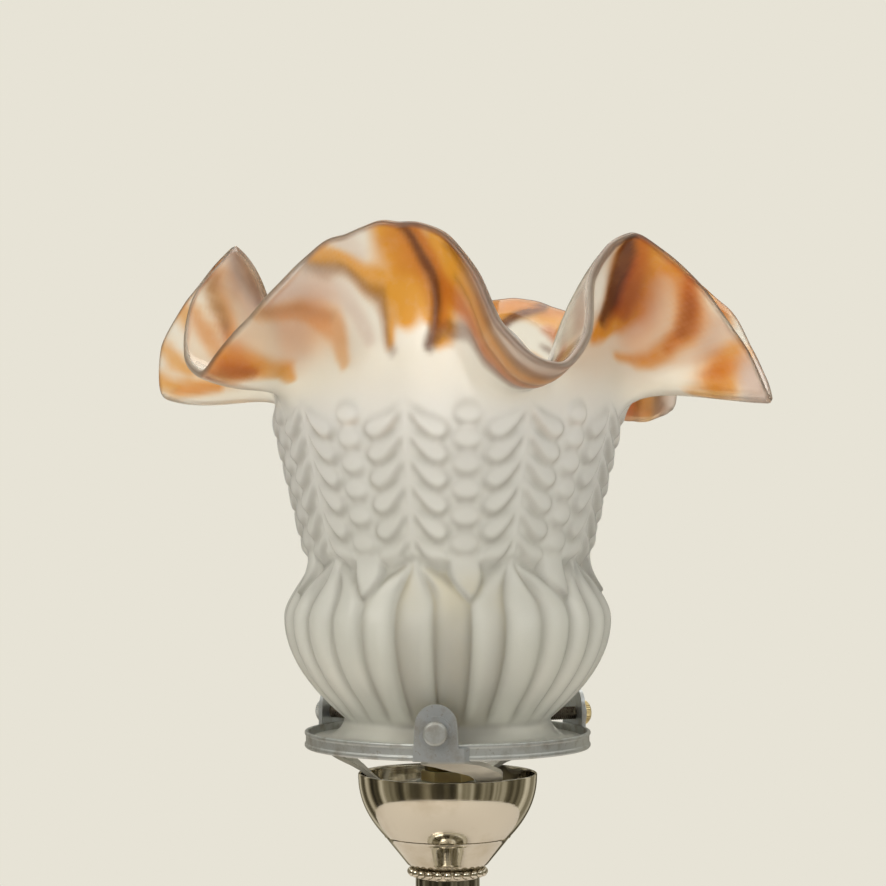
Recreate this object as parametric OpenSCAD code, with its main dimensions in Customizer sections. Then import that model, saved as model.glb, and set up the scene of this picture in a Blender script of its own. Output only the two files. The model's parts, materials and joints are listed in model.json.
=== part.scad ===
// Table lamp: a ruffled glass tulip shade held by three thumb screws in a gallery,
// over a spun cup, a slim column and a weighted round base.
// Millimetres. +Z is up, the front is -Y, the origin is the middle of the felt on the table.

/* [Shade] */
// Radius of the glass lip that stands in the gallery
lip_r = 41.2; // [36:0.1:50]
// Radius of the neck that the thumb screws close on
neck_r = 31.1; // [28:0.1:35]
// Largest radius of the melon bulge
bulge_r = 49.4; // [44:0.1:60]
// Radius of the waist over the bulge
waist_r = 42.0; // [38:0.1:50]
// Radius of the vase where the ruffle starts
vase_r = 51.4; // [46:0.1:60]
// Height from the lip to the top of the vase
vase_h = 95.2; // [85:0.1:115]
// Thickness of the glass
glass_wall = 2.6; // [2:0.1:3.2]
// Number of convex lobes round the bulge
lobe_count = 27; // [18:9:36]
// Depth of the grooves between the lobes
lobe_depth = 1.3; // [0.4:0.1:1.6]

/* [Gallery] */
// Height of the hoop's band
hoop_h = 5.0; // [4:0.1:7]
// Thickness of the hoop, of its ledge and of the arms
strap_t = 1.2; // [1:0.1:1.6]
// Width of the ledge that the glass lip stands on
ledge_w = 4.0; // [3:0.1:6]
// Width of each ear at its foot
ear_w = 13.5; // [12:0.1:18]
// Width of each arm near the hub
arm_w = 6.5; // [5:0.1:9]
// Width of each arm where it meets the hoop
arm_end_w = 10.5; // [8:0.1:13]
// Turn of each arm for each millimetre of radius, in degrees
arm_swirl = 1.8; // [1:0.1:2.2]
// Radius of a thumb screw's shank
screw_r = 2.0; // [1.5:0.05:2.4]
// Radius of a thumb screw's head
screw_head_r = 3.7; // [3.2:0.05:4.2]
// Thickness of a thumb screw's head
screw_head_t = 2.7; // [2:0.1:4]

/* [Bulb] */
// Radius of the bulb's globe
bulb_r = 30.0; // [22:0.1:34]
// Height of the bulb from its contacts to its crown
bulb_h = 108; // [98:1:115]
// Radius of the bulb's bayonet cap
cap_r = 11.0; // [10.6:0.05:11.2]
// Radius of a bayonet pin
pin_r = 1.1; // [0.9:0.05:1.3]
// Travel of the bulb when it is pressed in
press_travel = 1.5; // [1:0.1:2]
// Turn from the bulb's seat to the open slot, in degrees
bayonet_turn = 20; // [15:1:30]

/* [Cup and column] */
// Radius of the cup's rim
cup_rim_r = 27.0; // [24:0.1:33]
// Height of the cup
cup_h = 28.0; // [23:0.1:32]
// Thickness of the spun cup
cup_wall = 0.8; // [0.6:0.1:1.2]
// Radius of the column
column_r = 9.65; // [8.1:0.05:10.2]
// Length of the column between its collars
column_len = 169.2; // [130:0.1:240]
// Radius of a bead in the collars
bead_r = 1.3; // [1.1:0.05:1.4]
// Number of beads in a collar
bead_count = 24; // [18:1:24]

/* [Base] */
// Radius of the base at its foot ring
base_r = 71.0; // [62:0.5:90]
// Height of the base
base_h = 44.0; // [40:0.5:60]
// Thickness of the spun base shell
base_wall = 1.2; // [1:0.1:1.6]
// Thickness of the felt
felt_t = 1.5; // [1:0.1:3]
// Radius of the hole for the flex
flex_r = 3.5; // [2.5:0.1:3.7]

/* [Hidden] */
$fn = 96;

// Clearances
slip = 0.06;      // a turning or sliding shank in its bore, on the radius
seat_gap = 0.3;   // glass over metal
hoop_play = 0.7;  // lip inside the hoop, on the radius
over = 20;        // a cutter's run past the piece that it cuts

// Threaded rod, its nuts and washers
rod_r = 5.0;
rod_bore_r = 3.6;
rod_hole_r = rod_r + 0.05;
nut_side_r = 8.0;
nut_h = 3.2;
washer_t = 1.0;
washer_r = 9.5;

// Shade levels above the lip's underside
lip_t = 1.8;
skirt_r = lip_r - 5.6;
neck_h = 7.6;
bulge_h = 0.395 * vase_h;
waist_h = 0.586 * vase_h;

// Levels up the lamp
plate_t = 1.5;
plate_top = felt_t + plate_t;
shell_foot = 1.0;
foot_collar_h = 6.0;
column_foot = base_h + foot_collar_h;
column_top = column_foot + column_len;
collar_h = 3.4;
cup_foot = column_top + collar_h;
hub_z = cup_foot + cup_h - 4.6;
hub_top = hub_z + strap_t;
washer_top = hub_top + washer_t;
holder_z = washer_top + nut_h;
hoop_z = hub_z + 12.5;
ledge_t = 1.0;
shade_z = hoop_z + ledge_t + seat_gap;
screw_z = shade_z + neck_h - 0.5;

// Gallery radii
hoop_in = lip_r + hoop_play;
hoop_out = hoop_in + strap_t;
ear_out = hoop_out + strap_t;
boss_t = 0.7;
boss_r = 4.9;
screw_tip = neck_r + seat_gap + 0.4;
screw_seat = ear_out + boss_t + 0.15;
SCREW_ANGLES = [-94.5, 25.5, 145.5];

// Column collars
bead_ring_r = column_r + 1.25;
collar_core_r = bead_ring_r - 0.3;
collar_spigot = 2.0;
column_wall = 1.0;
spigot_r = column_r - column_wall - slip;

// Bayonet lampholder, heights above its foot
entry_r = 7.0;
holder_r = 16.0;
barrel_in = cap_r + 0.4;
barrel_t = 0.9;
bulb_seat = 31.55;
bulb_z = holder_z + bulb_seat;
pin_h = 6.8;
slot_play = 0.35;
pin_reach = 2.3;
contact_y = 4.2;
plunger_r = 2.0;
collar_plunger_r = 2.5;

// Angles of the shade's columns of points, four to a lobe, one of them in each groove
GROOVE_ANGLE = -83.7;
COLUMNS = 4 * lobe_count;
FIRST_GROOVE = GROOVE_ANGLE - 360 / lobe_count * floor(0.186 * lobe_count);

// The ruffle, turn by turn: [angle, reach of the rim past the vase, height of the rim over the
// vase, height of the belly under the rim]
RUFFLE = [
    [-151, 31, 14.5, 6],
    [-142, 29, 23, 13],
    [-134, 25, 33.5, 24],
    [-122, 19, 49, 37],
    [-113, 17.7, 53.4, 42.5],
    [-105, 17, 56, 46],
    [-92, 17, 53, 43],
    [-85, 22, 42, 33],
    [-80, 28, 27, 18],
    [-71, 37, 15.5, 5],
    [-60, 29, 25, 15],
    [-53, 19, 42, 32],
    [-39, 18, 54, 44],
    [-28, 28, 43.5, 34.5],
    [-17, 40, 22.5, 14.5],
    [-10, 46, 7, 7],
    [5, 42, 23, 15],
    [12, 37, 36, 27],
    [26, 22, 51, 41],
    [33, 34, 30, 20],
    [42, 46, 6, -7],
    [53, 25, 30.5, 21],
    [62, 19, 38.2, 29],
    [77, 16, 39.7, 31],
    [88, 27, 28, 19],
    [102, 41, 10, 4],
    [115, 31, 29, 21],
    [130, 17, 48, 39],
    [143, 31, 32, 23],
    [158, 44, 9, 2],
    [167, 40, 24, 16],
    [173, 30, 37, 28],
    [187, 14.3, 52.8, 44.5],
    [195, 27, 37, 28],
    [202, 32, 21, 12],
];

// ---- Helpers ----

function ease(u) = (1 - cos(180 * u)) / 2;
function mix(a, b, u) = a + (b - a) * u;
function clamp01(u) = min(1, max(0, u));
function unit(v) = v / norm(v);
function reversed(list) = [for (i = [len(list) - 1:-1:0]) list[i]];

// Normal to the left of an open plane path at point i
function left_of(path, i) =
    let (
        a = path[max(i - 1, 0)],
        b = path[min(i + 1, len(path) - 1)],
        t = unit(b - a)
    )
    [-t[1], t[0]];

// The same path moved to its left by d, or at each point by that point's value in a list d
function beside(path, d) = [
    for (i = [0:len(path) - 1])
        path[i] + (is_list(d) ? d[i] : d) * left_of(path, i)
];

// A sheet of even thickness, spun round Z, on the left of a plane path (on its right if negative)
module spun(path, wall) {
    other_side = [for (p = beside(path, wall)) [max(p[0], 0), p[1]]];
    rotate_extrude()
        polygon(concat(path, reversed(other_side)));
}

module ring(out_r, in_r, h) {
    difference() {
        cylinder(r = out_r, h = h);
        translate([0, 0, -over])
            cylinder(r = in_r, h = h + 2 * over);
    }
}

module hex_nut(side_r, in_r, h) {
    difference() {
        cylinder(r = side_r, h = h, $fn = 6);
        translate([0, 0, -over])
            cylinder(r = in_r, h = h + 2 * over);
    }
}

// Turns a child drawn along +Z so that it points outward at an angle
module outward(angle, z) {
    rotate([0, 0, angle])
        translate([0, 0, z])
            rotate([0, 90, 0])
                children();
}

// ---- Shade ----

function ruffle_key(i) =
    let (
        turns = floor(i / len(RUFFLE)),
        k = RUFFLE[i - turns * len(RUFFLE)]
    )
    [k[0] + 360 * turns, k[1], k[2], k[3]];

function ruffle_slope(i) =
    let (a = ruffle_key(i - 1), b = ruffle_key(i + 1))
    (b - a) / (b[0] - a[0]);

function ruffle_index(angle, i = 0) =
    ruffle_key(i + 1)[0] > angle ? i : ruffle_index(angle, i + 1);

// Smooth curve through the ruffle's table
function ruffle(angle) =
    let (
        i = ruffle_index(angle),
        a = ruffle_key(i),
        b = ruffle_key(i + 1),
        w = b[0] - a[0],
        u = (angle - a[0]) / w,
        u2 = u * u,
        u3 = u2 * u
    )
    (2 * u3 - 3 * u2 + 1) * a + (u3 - 2 * u2 + u) * w * ruffle_slope(i)
    + (3 * u2 - 2 * u3) * b + (u3 - u2) * w * ruffle_slope(i + 1);

// Control points of the ruffle's profile at one angle: troughs lean out, ridges stand up
function ruffle_profile(angle) =
    let (
        k = ruffle(angle),
        rim_r = vase_r + k[1],
        ridge = clamp01((k[2] - 7) / 48)
    )
    [
        [vase_r, vase_h],
        [vase_r + mix(2.4, 1.6, ridge), vase_h + mix(15, 21, ridge)],
        [mix(0.8 * rim_r, vase_r + 3.2, ridge), vase_h + k[3]],
        [rim_r, vase_h + k[2]],
    ];

function bezier(c, t) =
    pow(1 - t, 3) * c[0] + 3 * t * pow(1 - t, 2) * c[1] + 3 * t * t * (1 - t) * c[2] + pow(t, 3) * c[3];

// Radius of the body at height h over the lip's underside, without its lobes
function body_r(h) =
    h < neck_h ? mix(neck_r, skirt_r, pow(1 - clamp01((h - lip_t) / (neck_h - lip_t)), 2)) :
    h < bulge_h ? mix(bulge_r, neck_r, pow((bulge_h - h) / (bulge_h - neck_h), 2)) :
    h < waist_h ? mix(bulge_r, waist_r, ease((h - bulge_h) / (waist_h - bulge_h))) :
    mix(waist_r, vase_r, (h - waist_h) / (vase_h - waist_h));

// How far the lobes' grooves sink in at a height and an angle
function groove(h, angle) =
    let (u = clamp01((h - neck_h) / (waist_h - neck_h)))
    lobe_depth * sin(180 * u) * (1 - abs(sin(lobe_count * (angle - GROOVE_ANGLE) / 2)));

BODY_ROWS = concat(
    [for (u = [0:1 / 3:1]) mix(lip_t, neck_h, u)],
    [for (u = [1 / 5:1 / 5:1]) mix(neck_h, bulge_h, u)],
    [for (u = [1 / 4:1 / 4:1]) mix(bulge_h, waist_h, u)],
    [for (u = [1 / 2:1 / 2:0.9]) mix(waist_h, vase_h, u)]
);
FLARE_ROWS = [for (i = [0:9]) i / 9];
SHADE_ANGLES = [for (j = [0:COLUMNS - 1]) FIRST_GROOVE + 360 * j / COLUMNS];
PROFILES = [for (a = SHADE_ANGLES) ruffle_profile(a)];

function on_circle(r, angle, z) = [r * cos(angle), r * sin(angle), z];

// The outer face without its lobes: one ring of points for each row
FACE = concat(
    [for (h = BODY_ROWS) [for (a = SHADE_ANGLES) on_circle(body_r(h), a, h)]],
    [for (t = FLARE_ROWS) [for (j = [0:COLUMNS - 1])
        let (p = bezier(PROFILES[j], t)) on_circle(p[0], SHADE_ANGLES[j], p[1])]]
);

function face_normal(i, j) =
    let (
        up = FACE[min(i + 1, len(FACE) - 1)][j] - FACE[max(i - 1, 0)][j],
        round_step = FACE[i][(j + 1) % COLUMNS] - FACE[i][(j + COLUMNS - 1) % COLUMNS]
    )
    unit(cross(round_step, up));

// The inner face, one wall inside the outer one
INNER_ROWS = concat([for (i = [3:2:len(BODY_ROWS)]) i], [for (i = [len(BODY_ROWS) + 1:len(FACE) - 1]) i]);
INNER = [for (i = INNER_ROWS) [for (j = [0:COLUMNS - 1]) FACE[i][j] - glass_wall * face_normal(i, j)]];
bore_r = neck_r - glass_wall;

SHADE_RINGS = concat(
    [[for (a = SHADE_ANGLES) on_circle(bore_r, a, 0)]],
    [[for (a = SHADE_ANGLES) on_circle(lip_r - 0.6, a, 0)]],
    [[for (a = SHADE_ANGLES) on_circle(lip_r, a, 0.6)]],
    [[for (a = SHADE_ANGLES) on_circle(lip_r, a, 1.1)]],
    [[for (a = SHADE_ANGLES) on_circle(lip_r - 0.7, a, lip_t)]],
    [for (i = [0:len(BODY_ROWS) - 1]) [for (j = [0:COLUMNS - 1])
        FACE[i][j] - groove(BODY_ROWS[i], SHADE_ANGLES[j]) * [cos(SHADE_ANGLES[j]), sin(SHADE_ANGLES[j]), 0]]],
    [for (i = [len(BODY_ROWS):len(FACE) - 1]) FACE[i]],
    reversed(INNER)
);

// Two triangles for each cell between neighbouring rings, and the last ring joins the first
function tube_faces(rings, sides) = [
    for (i = [0:rings - 1]) for (j = [0:sides - 1]) for (half = [0, 1])
        let (
            k = (j + 1) % sides,
            a = i * sides,
            b = ((i + 1) % rings) * sides
        )
        half == 0 ? [a + j, b + k, a + k] : [a + j, b + j, b + k]
];

module glass_shade() {
    color("#ddd6c8")
        translate([0, 0, shade_z])
            polyhedron(
                points = [for (r = SHADE_RINGS) each r],
                faces = tube_faces(len(SHADE_RINGS), COLUMNS),
                convexity = 12
            );
}

// ---- Gallery ----

module gallery_hoop() {
    color("#8d9093")
        translate([0, 0, hoop_z]) {
            ring(hoop_out, hoop_in, hoop_h);
            ring(hoop_in + 0.1, hoop_in - ledge_w, ledge_t);
        }
}

// Upper face of the dished spider, from the hub out under the hoop and up its band
hub_disc_r = 13.0;
SPIDER_PATH = [
    [rod_hole_r, hub_top],
    [0.36 * hoop_out, hub_top],
    [0.45 * hoop_out, hub_top + 0.6],
    [0.53 * hoop_out, hub_top + 3.0],
    [0.60 * hoop_out, hub_top + 5.3],
    [0.67 * hoop_out, hub_top + 6.8],
    [0.80 * hoop_out, hoop_z - 2.6],
    [0.89 * hoop_out, hoop_z - 0.9],
    [0.95 * hoop_out, hoop_z],
    [hoop_out, hoop_z],
    [hoop_out, hoop_z + hoop_h],
];

// Plan of one swirled arm
function arm_mid(r, angle) =
    let (a = angle + arm_swirl * (ear_out - r))
    [r * cos(a), r * sin(a)];

function arm_plan(angle) =
    let (
        mid = [for (i = [0:12]) arm_mid(mix(10, ear_out + 1, i / 12), angle)],
        half = [for (i = [0:12]) mix(arm_w, arm_end_w, pow(i / 12, 2)) / 2]
    )
    concat(beside(mid, half), reversed(beside(mid, -half)));

module arm(angle) {
    intersection() {
        spun(SPIDER_PATH, -strap_t);
        translate([0, 0, hub_z - 1])
            linear_extrude(height = hoop_z + hoop_h - hub_z)
                polygon(arm_plan(angle));
    }
}

// Face of one ear, drawn with its foot at y = 0
module ear_face() {
    rise = screw_z - hoop_z + 2.1;
    tip_r = 0.45 * ear_w;
    polygon([[-ear_w / 2, 0], [ear_w / 2, 0], [tip_r, rise], [-tip_r, rise]]);
    translate([0, rise])
        circle(r = tip_r);
}

module ear(angle) {
    intersection() {
        translate([0, 0, hoop_z])
            ring(ear_out, hoop_out, 3 * ear_w);
        rotate([0, 0, angle])
            translate([0, 0, hoop_z])
                rotate([90, 0, 90])
                    linear_extrude(height = 2 * ear_out)
                        ear_face();
    }
    outward(angle, screw_z)
        translate([0, 0, hoop_out + strap_t / 2])
            cylinder(r = boss_r, h = strap_t / 2 + boss_t);
}

module gallery_spider() {
    color("#8d9093")
        difference() {
            union() {
                for (a = SCREW_ANGLES)
                    arm(a);
                translate([0, 0, hub_z])
                    cylinder(r = hub_disc_r, h = strap_t);
                for (a = SCREW_ANGLES)
                    ear(a);
            }
            translate([0, 0, hub_z - over / 2])
                cylinder(r = rod_hole_r, h = over);
            for (a = SCREW_ANGLES)
                outward(a, screw_z)
                    translate([0, 0, hoop_in])
                        cylinder(r = screw_r + slip, h = over);
        }
}

// Shank with its point toward the glass and a stub that its head is bored for
point_len = 2.0;
stub_r = 1.1;
head_gap = 0.05;
head_bore = screw_head_t - 0.6;

module screw_shank(angle) {
    color("#5d564b")
        outward(angle, screw_z) {
            translate([0, 0, screw_tip])
                cylinder(r1 = 0.4 * screw_r, r2 = screw_r, h = point_len);
            translate([0, 0, screw_tip + point_len])
                cylinder(r = screw_r, h = screw_seat - screw_tip - point_len - head_gap);
            translate([0, 0, screw_seat - head_gap])
                cylinder(r = stub_r, h = head_bore - head_gap);
        }
}

// Knurled head, bored for the shank's stub
knurl_count = 28;
knurl_depth = 0.25;

module screw_head(angle) {
    knurl = [for (i = [0:2 * knurl_count - 1])
        let (r = screw_head_r - (i % 2) * knurl_depth, a = 180 * i / knurl_count)
        [r * cos(a), r * sin(a)]];
    outward(angle, screw_z)
        translate([0, 0, screw_seat])
            difference() {
                union() {
                    linear_extrude(height = screw_head_t - 0.5)
                        polygon(knurl);
                    cylinder(r = screw_head_r - 0.6, h = screw_head_t);
                }
                translate([0, 0, -1])
                    cylinder(r = stub_r + slip, h = head_bore + 1);
            }
}

module front_screw_shank() {
    screw_shank(SCREW_ANGLES[0]);
}

module front_screw_head() {
    color("#8d9093")
        screw_head(SCREW_ANGLES[0]);
}

module right_screw_shank() {
    screw_shank(SCREW_ANGLES[1]);
}

module right_screw_head() {
    color("#a98a4a")
        screw_head(SCREW_ANGLES[1]);
}

module left_screw_shank() {
    screw_shank(SCREW_ANGLES[2]);
}

module left_screw_head() {
    color("#8d9093")
        screw_head(SCREW_ANGLES[2]);
}

// ---- Bulb, with its heights over its contacts ----

globe_h = bulb_h - bulb_r;
cap_foot = 2.2;
cap_top = 25.0;
cap_wall = 0.4;
bulb_neck_r = cap_r - cap_wall - 0.1;
bulb_wall = 0.7;
bulb_foot = 12.0;
flare_h = cap_top + 4;
flare_r = bulb_neck_r + 0.9;
contact_r = 2.3;
insulator_r = cap_r - cap_wall - 0.05;
insulator_foot = 0.4;
insulator_cone = 2.0;
insulator_h = 4.4;

// Outer face of the envelope: neck, flowing shoulder, globe
shoulder_angle = 40;
BULB_PATH = concat(
    [[bulb_neck_r, bulb_foot], [bulb_neck_r, cap_top], [flare_r, flare_h]],
    [for (i = [1:7])
        let (u = i / 8)
        [
            mix(flare_r, bulb_r * cos(shoulder_angle), 0.65 * u + 0.35 * u * u),
            mix(flare_h, globe_h - bulb_r * sin(shoulder_angle), u),
        ]],
    [for (a = [-shoulder_angle:10:80]) [bulb_r * cos(a), globe_h + bulb_r * sin(a)]],
    [[0, globe_h + bulb_r]]
);

module bulb_glass() {
    color("#f7f5ef")
        translate([0, 0, bulb_z])
            spun(BULB_PATH, bulb_wall);
}

module bulb_cap() {
    color("#c9b27a")
        translate([0, 0, bulb_z]) {
            translate([0, 0, cap_foot])
                ring(cap_r, cap_r - cap_wall, cap_top - cap_foot);
            for (side = [0, 180])
                rotate([0, 0, side])
                    translate([cap_r - cap_wall / 2, 0, pin_h])
                        rotate([0, 90, 0])
                            cylinder(r = pin_r, h = pin_reach + cap_wall / 2);
        }
}

module bulb_insulator() {
    color("#1d1b1a")
        translate([0, 0, bulb_z + insulator_foot])
            difference() {
                union() {
                    cylinder(r1 = 0.8 * insulator_r, r2 = insulator_r, h = insulator_cone);
                    translate([0, 0, insulator_cone])
                        cylinder(r = insulator_r, h = insulator_h - insulator_cone);
                }
                for (y = [-contact_y, contact_y])
                    translate([0, y, -1])
                        cylinder(r = contact_r + 0.05, h = insulator_cone + 1);
            }
}

module bulb_contacts() {
    color("#b9bcbf")
        for (y = [-contact_y, contact_y])
            translate([0, y, bulb_z])
                cylinder(r = contact_r, h = insulator_foot + insulator_cone - 0.1);
}

// Glass stem: a disc in the neck, a rod up to the leads and a button on its top
stem_r = 3.2;
stem_h = 44.0;
stem_button_r = 2.4;
stem_disc_r = bulb_neck_r - bulb_wall - 0.1;
stem_disc_t = 1.2;

module bulb_stem() {
    color("#dfe6e6")
        translate([0, 0, bulb_z + bulb_foot]) {
            cylinder(r = stem_disc_r, h = stem_disc_t);
            cylinder(r = stem_r, h = stem_h);
            translate([0, 0, stem_h])
                sphere(r = stem_button_r);
        }
}

// Coil of lamp wire in an arc round the stem, on two leads
filament_r = 13.0;
filament_z = 64.0;
filament_end = 100;
filament_wire_r = 0.5;
lead_r = 0.4;
lead_z = bulb_foot + stem_h - 3;
lead_root = stem_r + 0.05;

module bulb_filament() {
    color("#6f7074")
        translate([0, 0, bulb_z]) {
            translate([0, 0, filament_z])
                rotate_extrude(angle = 2 * filament_end, start = -filament_end)
                    translate([filament_r, 0])
                        circle(r = filament_wire_r);
            for (a = [-filament_end, filament_end])
                rotate([0, 0, a]) {
                    translate([filament_r, 0, lead_z])
                        cylinder(r = lead_r, h = filament_z - lead_z);
                    translate([lead_root, 0, lead_z])
                        rotate([0, 90, 0])
                            cylinder(r = lead_r, h = filament_r + lead_r - lead_root);
                }
        }
}

// ---- Lampholder, with its heights over its foot ----

entry_h = 5.1;
skirt_z = 8.0;
step_z = 10.6;
flange_z = 14.6;
flange_t = 1.0;
holder_wall = 1.0;
barrel_top = bulb_seat + 16;
ring_out = holder_r + 1.4;
core_top = bulb_seat - 2.4;
plunger_top = bulb_seat - 0.05;
plunger_step = 6.9;
spring_foot = bulb_seat - 18.9;
spring_h = 6.0;
lip_z = flange_z + flange_t;
terminal_x = 8.0;
terminal_r = 1.25;
terminal_len = 4.5;
terminal_head_r = 2.0;
terminal_head_t = 1.5;

module lampholder_cap() {
    color("#b08d57")
        translate([0, 0, holder_z])
            rotate_extrude()
                polygon([
                    [rod_hole_r, 0],
                    [entry_r, 0],
                    [entry_r, entry_h],
                    [holder_r - 2.5, entry_h + 1.2],
                    [holder_r, skirt_z],
                    [holder_r, lip_z - 0.2],
                    [holder_r - holder_wall, lip_z - 0.2],
                    [holder_r - holder_wall, step_z],
                    [holder_r - 2.4, step_z],
                    [holder_r - 2.4, skirt_z],
                    [holder_r - 3.6, entry_h + 2.4],
                    [rod_hole_r, entry_h + 1.2],
                ]);
}

// Inside of one bayonet slot: it drops from the rim, then runs round to the pin's seat
module bayonet_slot() {
    half_w = pin_r + slot_play;
    end_angle = 1.2 * asin(half_w / barrel_in);
    foot = pin_h - press_travel - half_w;
    rotate([0, 0, -end_angle])
        translate([0, 0, bulb_seat + foot])
            rotate_extrude(angle = bayonet_turn + 2 * end_angle)
                translate([barrel_in - 1, 0])
                    square([barrel_t + 2, press_travel + 2 * half_w]);
    rotate([0, 0, bayonet_turn])
        translate([barrel_in - 1, -half_w, bulb_seat + foot])
            cube([barrel_t + 2, 2 * half_w, over]);
}

module lampholder_barrel() {
    color("#b08d57")
        translate([0, 0, holder_z])
            difference() {
                rotate_extrude()
                    polygon([
                        [barrel_in, flange_z],
                        [holder_r - holder_wall - 0.15, flange_z],
                        [holder_r - holder_wall - 0.15, lip_z],
                        [barrel_in + barrel_t, lip_z],
                        [barrel_in + barrel_t, barrel_top],
                        [barrel_in, barrel_top],
                    ]);
                for (side = [0, 180])
                    rotate([0, 0, side])
                        bayonet_slot();
            }
}

module lampholder_ring() {
    grip_z = skirt_z - 0.5;
    ring_in = holder_r + 0.05;
    throat_r = barrel_in + barrel_t + 0.2;
    color("#b08d57")
        translate([0, 0, holder_z])
            rotate_extrude()
                polygon([
                    [ring_in, grip_z],
                    [ring_out, grip_z],
                    [ring_out, lip_z + 0.4],
                    [ring_out - 0.8, lip_z + 1.2],
                    [throat_r, lip_z + 1.2],
                    [throat_r, lip_z],
                    [ring_in, lip_z],
                ]);
}

module lampholder_core() {
    core_r = barrel_in - 0.15;
    color("#e4ddcd")
        translate([0, 0, holder_z])
            difference() {
                union() {
                    translate([0, 0, step_z])
                        cylinder(r = holder_r - holder_wall - 0.15, h = flange_z - step_z);
                    translate([0, 0, flange_z - 1])
                        cylinder(r = core_r, h = core_top - flange_z + 1);
                }
                for (y = [-contact_y, contact_y]) {
                    translate([0, y, spring_foot])
                        cylinder(r = collar_plunger_r + 0.1, h = core_top - 2.0 - spring_foot);
                    translate([0, y, spring_foot])
                        cylinder(r = plunger_r + 0.1, h = over);
                }
                for (x = [-terminal_x, terminal_x])
                    translate([x, 0, step_z - 1])
                        cylinder(r = terminal_r + slip, h = terminal_len + 1.5);
            }
}

module contact_plungers() {
    color("#c8a951")
        for (y = [-contact_y, contact_y])
            translate([0, y, holder_z]) {
                translate([0, 0, plunger_top - plunger_step])
                    cylinder(r = plunger_r, h = plunger_step);
                translate([0, 0, spring_foot + spring_h])
                    cylinder(r = collar_plunger_r, h = plunger_top - plunger_step - spring_foot - spring_h + 0.5);
            }
}

// Coil spring swept as a tube of wire, with half a turn closed flat at each end
spring_turns = 5;
spring_wire_r = 0.3;
spring_sides = 6;
spring_steps = 12;

function coil_ring(step, coil_r, height) =
    let (
        a = 360 * step / spring_steps,
        u = clamp01((step / spring_steps - 0.5) / (spring_turns - 1)),
        z = mix(spring_wire_r, height - spring_wire_r, u)
    )
    [for (k = [0:spring_sides - 1])
        let (b = 360 * k / spring_sides, r = coil_r + spring_wire_r * cos(b))
        [r * cos(a), r * sin(a), z + spring_wire_r * sin(b)]];

module coil_spring(coil_r, height) {
    last = spring_turns * spring_steps;
    points = [for (s = [0:last]) each coil_ring(s, coil_r, height)];
    walls = [
        for (s = [0:last - 1]) for (k = [0:spring_sides - 1]) for (half = [0, 1])
            let (
                n = (k + 1) % spring_sides,
                a = s * spring_sides,
                b = a + spring_sides
            )
            half == 0 ? [a + k, a + n, b + n] : [a + k, b + n, b + k]
    ];
    first_cap = [for (k = [spring_sides - 1:-1:0]) k];
    last_cap = [for (k = [0:spring_sides - 1]) last * spring_sides + k];
    polyhedron(points = points, faces = concat(walls, [first_cap], [last_cap]));
}

module plunger_springs() {
    color("#a9adb0")
        for (y = [-contact_y, contact_y])
            translate([0, y, holder_z + spring_foot])
                coil_spring(collar_plunger_r - spring_wire_r - 0.3, spring_h);
}

module terminal_screws() {
    color("#c8a951")
        for (x = [-terminal_x, terminal_x])
            translate([x, 0, holder_z + step_z]) {
                translate([0, 0, -terminal_head_t])
                    cylinder(r = terminal_head_r, h = terminal_head_t);
                cylinder(r = terminal_r, h = terminal_len);
            }
}

// ---- Hub, cup and column ----

module hub_washer() {
    color("#a9adb0")
        translate([0, 0, hub_top])
            ring(washer_r, rod_hole_r, washer_t);
}

module hub_nut() {
    color("#b08d57")
        translate([0, 0, washer_top])
            hex_nut(nut_side_r, rod_hole_r, nut_h);
}

spacer_r = 7.0;

module spacer_tube() {
    color("#b08d57")
        translate([0, 0, cup_foot + cup_wall])
            ring(spacer_r, rod_hole_r, hub_z - cup_foot - cup_wall);
}

cup_foot_r = 11.6;
cup_fillet = 0.5;
cup_crease = 0.318 * cup_h;
cup_crease_r = 0.7 * cup_rim_r;
CUP_PATH = concat(
    [
        [rod_hole_r, 0],
        [cup_foot_r - cup_fillet, 0],
        [cup_foot_r + cup_fillet, cup_fillet],
    ],
    [for (i = [0:12])
        let (u = i / 12)
        [mix(cup_rim_r, cup_crease_r, pow(1 - u, 2.2)), mix(cup_crease, cup_h, u)]]
);

module cup() {
    color("#cfc6b8")
        translate([0, 0, cup_foot])
            spun(CUP_PATH, cup_wall);
}

module bead_ring(z) {
    for (i = [0:bead_count - 1])
        rotate([0, 0, 360 * i / bead_count])
            translate([bead_ring_r, 0, z])
                sphere(r = bead_r);
}

// A collar drawn with its beads at the top and its spigot down in the column
step_h = 0.4;
step_in = 1.4;

module collar(height) {
    bead_z = height - step_h - bead_r;
    difference() {
        union() {
            translate([0, 0, -collar_spigot])
                cylinder(r = spigot_r, h = collar_spigot + 1);
            cylinder(r1 = column_r, r2 = collar_core_r, h = bead_z);
            translate([0, 0, bead_z])
                cylinder(r = collar_core_r, h = bead_r);
            translate([0, 0, bead_z])
                cylinder(r = collar_core_r - step_in, h = height - bead_z);
            bead_ring(bead_z);
        }
        translate([0, 0, -over])
            cylinder(r = rod_hole_r, h = 3 * over);
    }
}

module beaded_collar() {
    color("#bdb7a9")
        translate([0, 0, column_top])
            collar(collar_h);
}

module column_tube() {
    color("#a7a39a")
        translate([0, 0, column_foot])
            ring(column_r, column_r - column_wall, column_len);
}

rod_foot = plate_top + 1.6;
rod_top = holder_z + entry_h;
foot_disc_t = 1.6;
foot_disc_r = collar_core_r + 2.4;

module threaded_rod() {
    color("#8f8a80")
        translate([0, 0, rod_foot])
            ring(rod_r, rod_bore_r, rod_top - rod_foot);
}

module foot_collar() {
    color("#bdb7a9") {
        translate([0, 0, column_foot])
            mirror([0, 0, 1])
                collar(foot_collar_h - foot_disc_t);
        translate([0, 0, base_h])
            ring(foot_disc_r, rod_hole_r, foot_disc_t);
    }
}

// ---- Base ----

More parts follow.
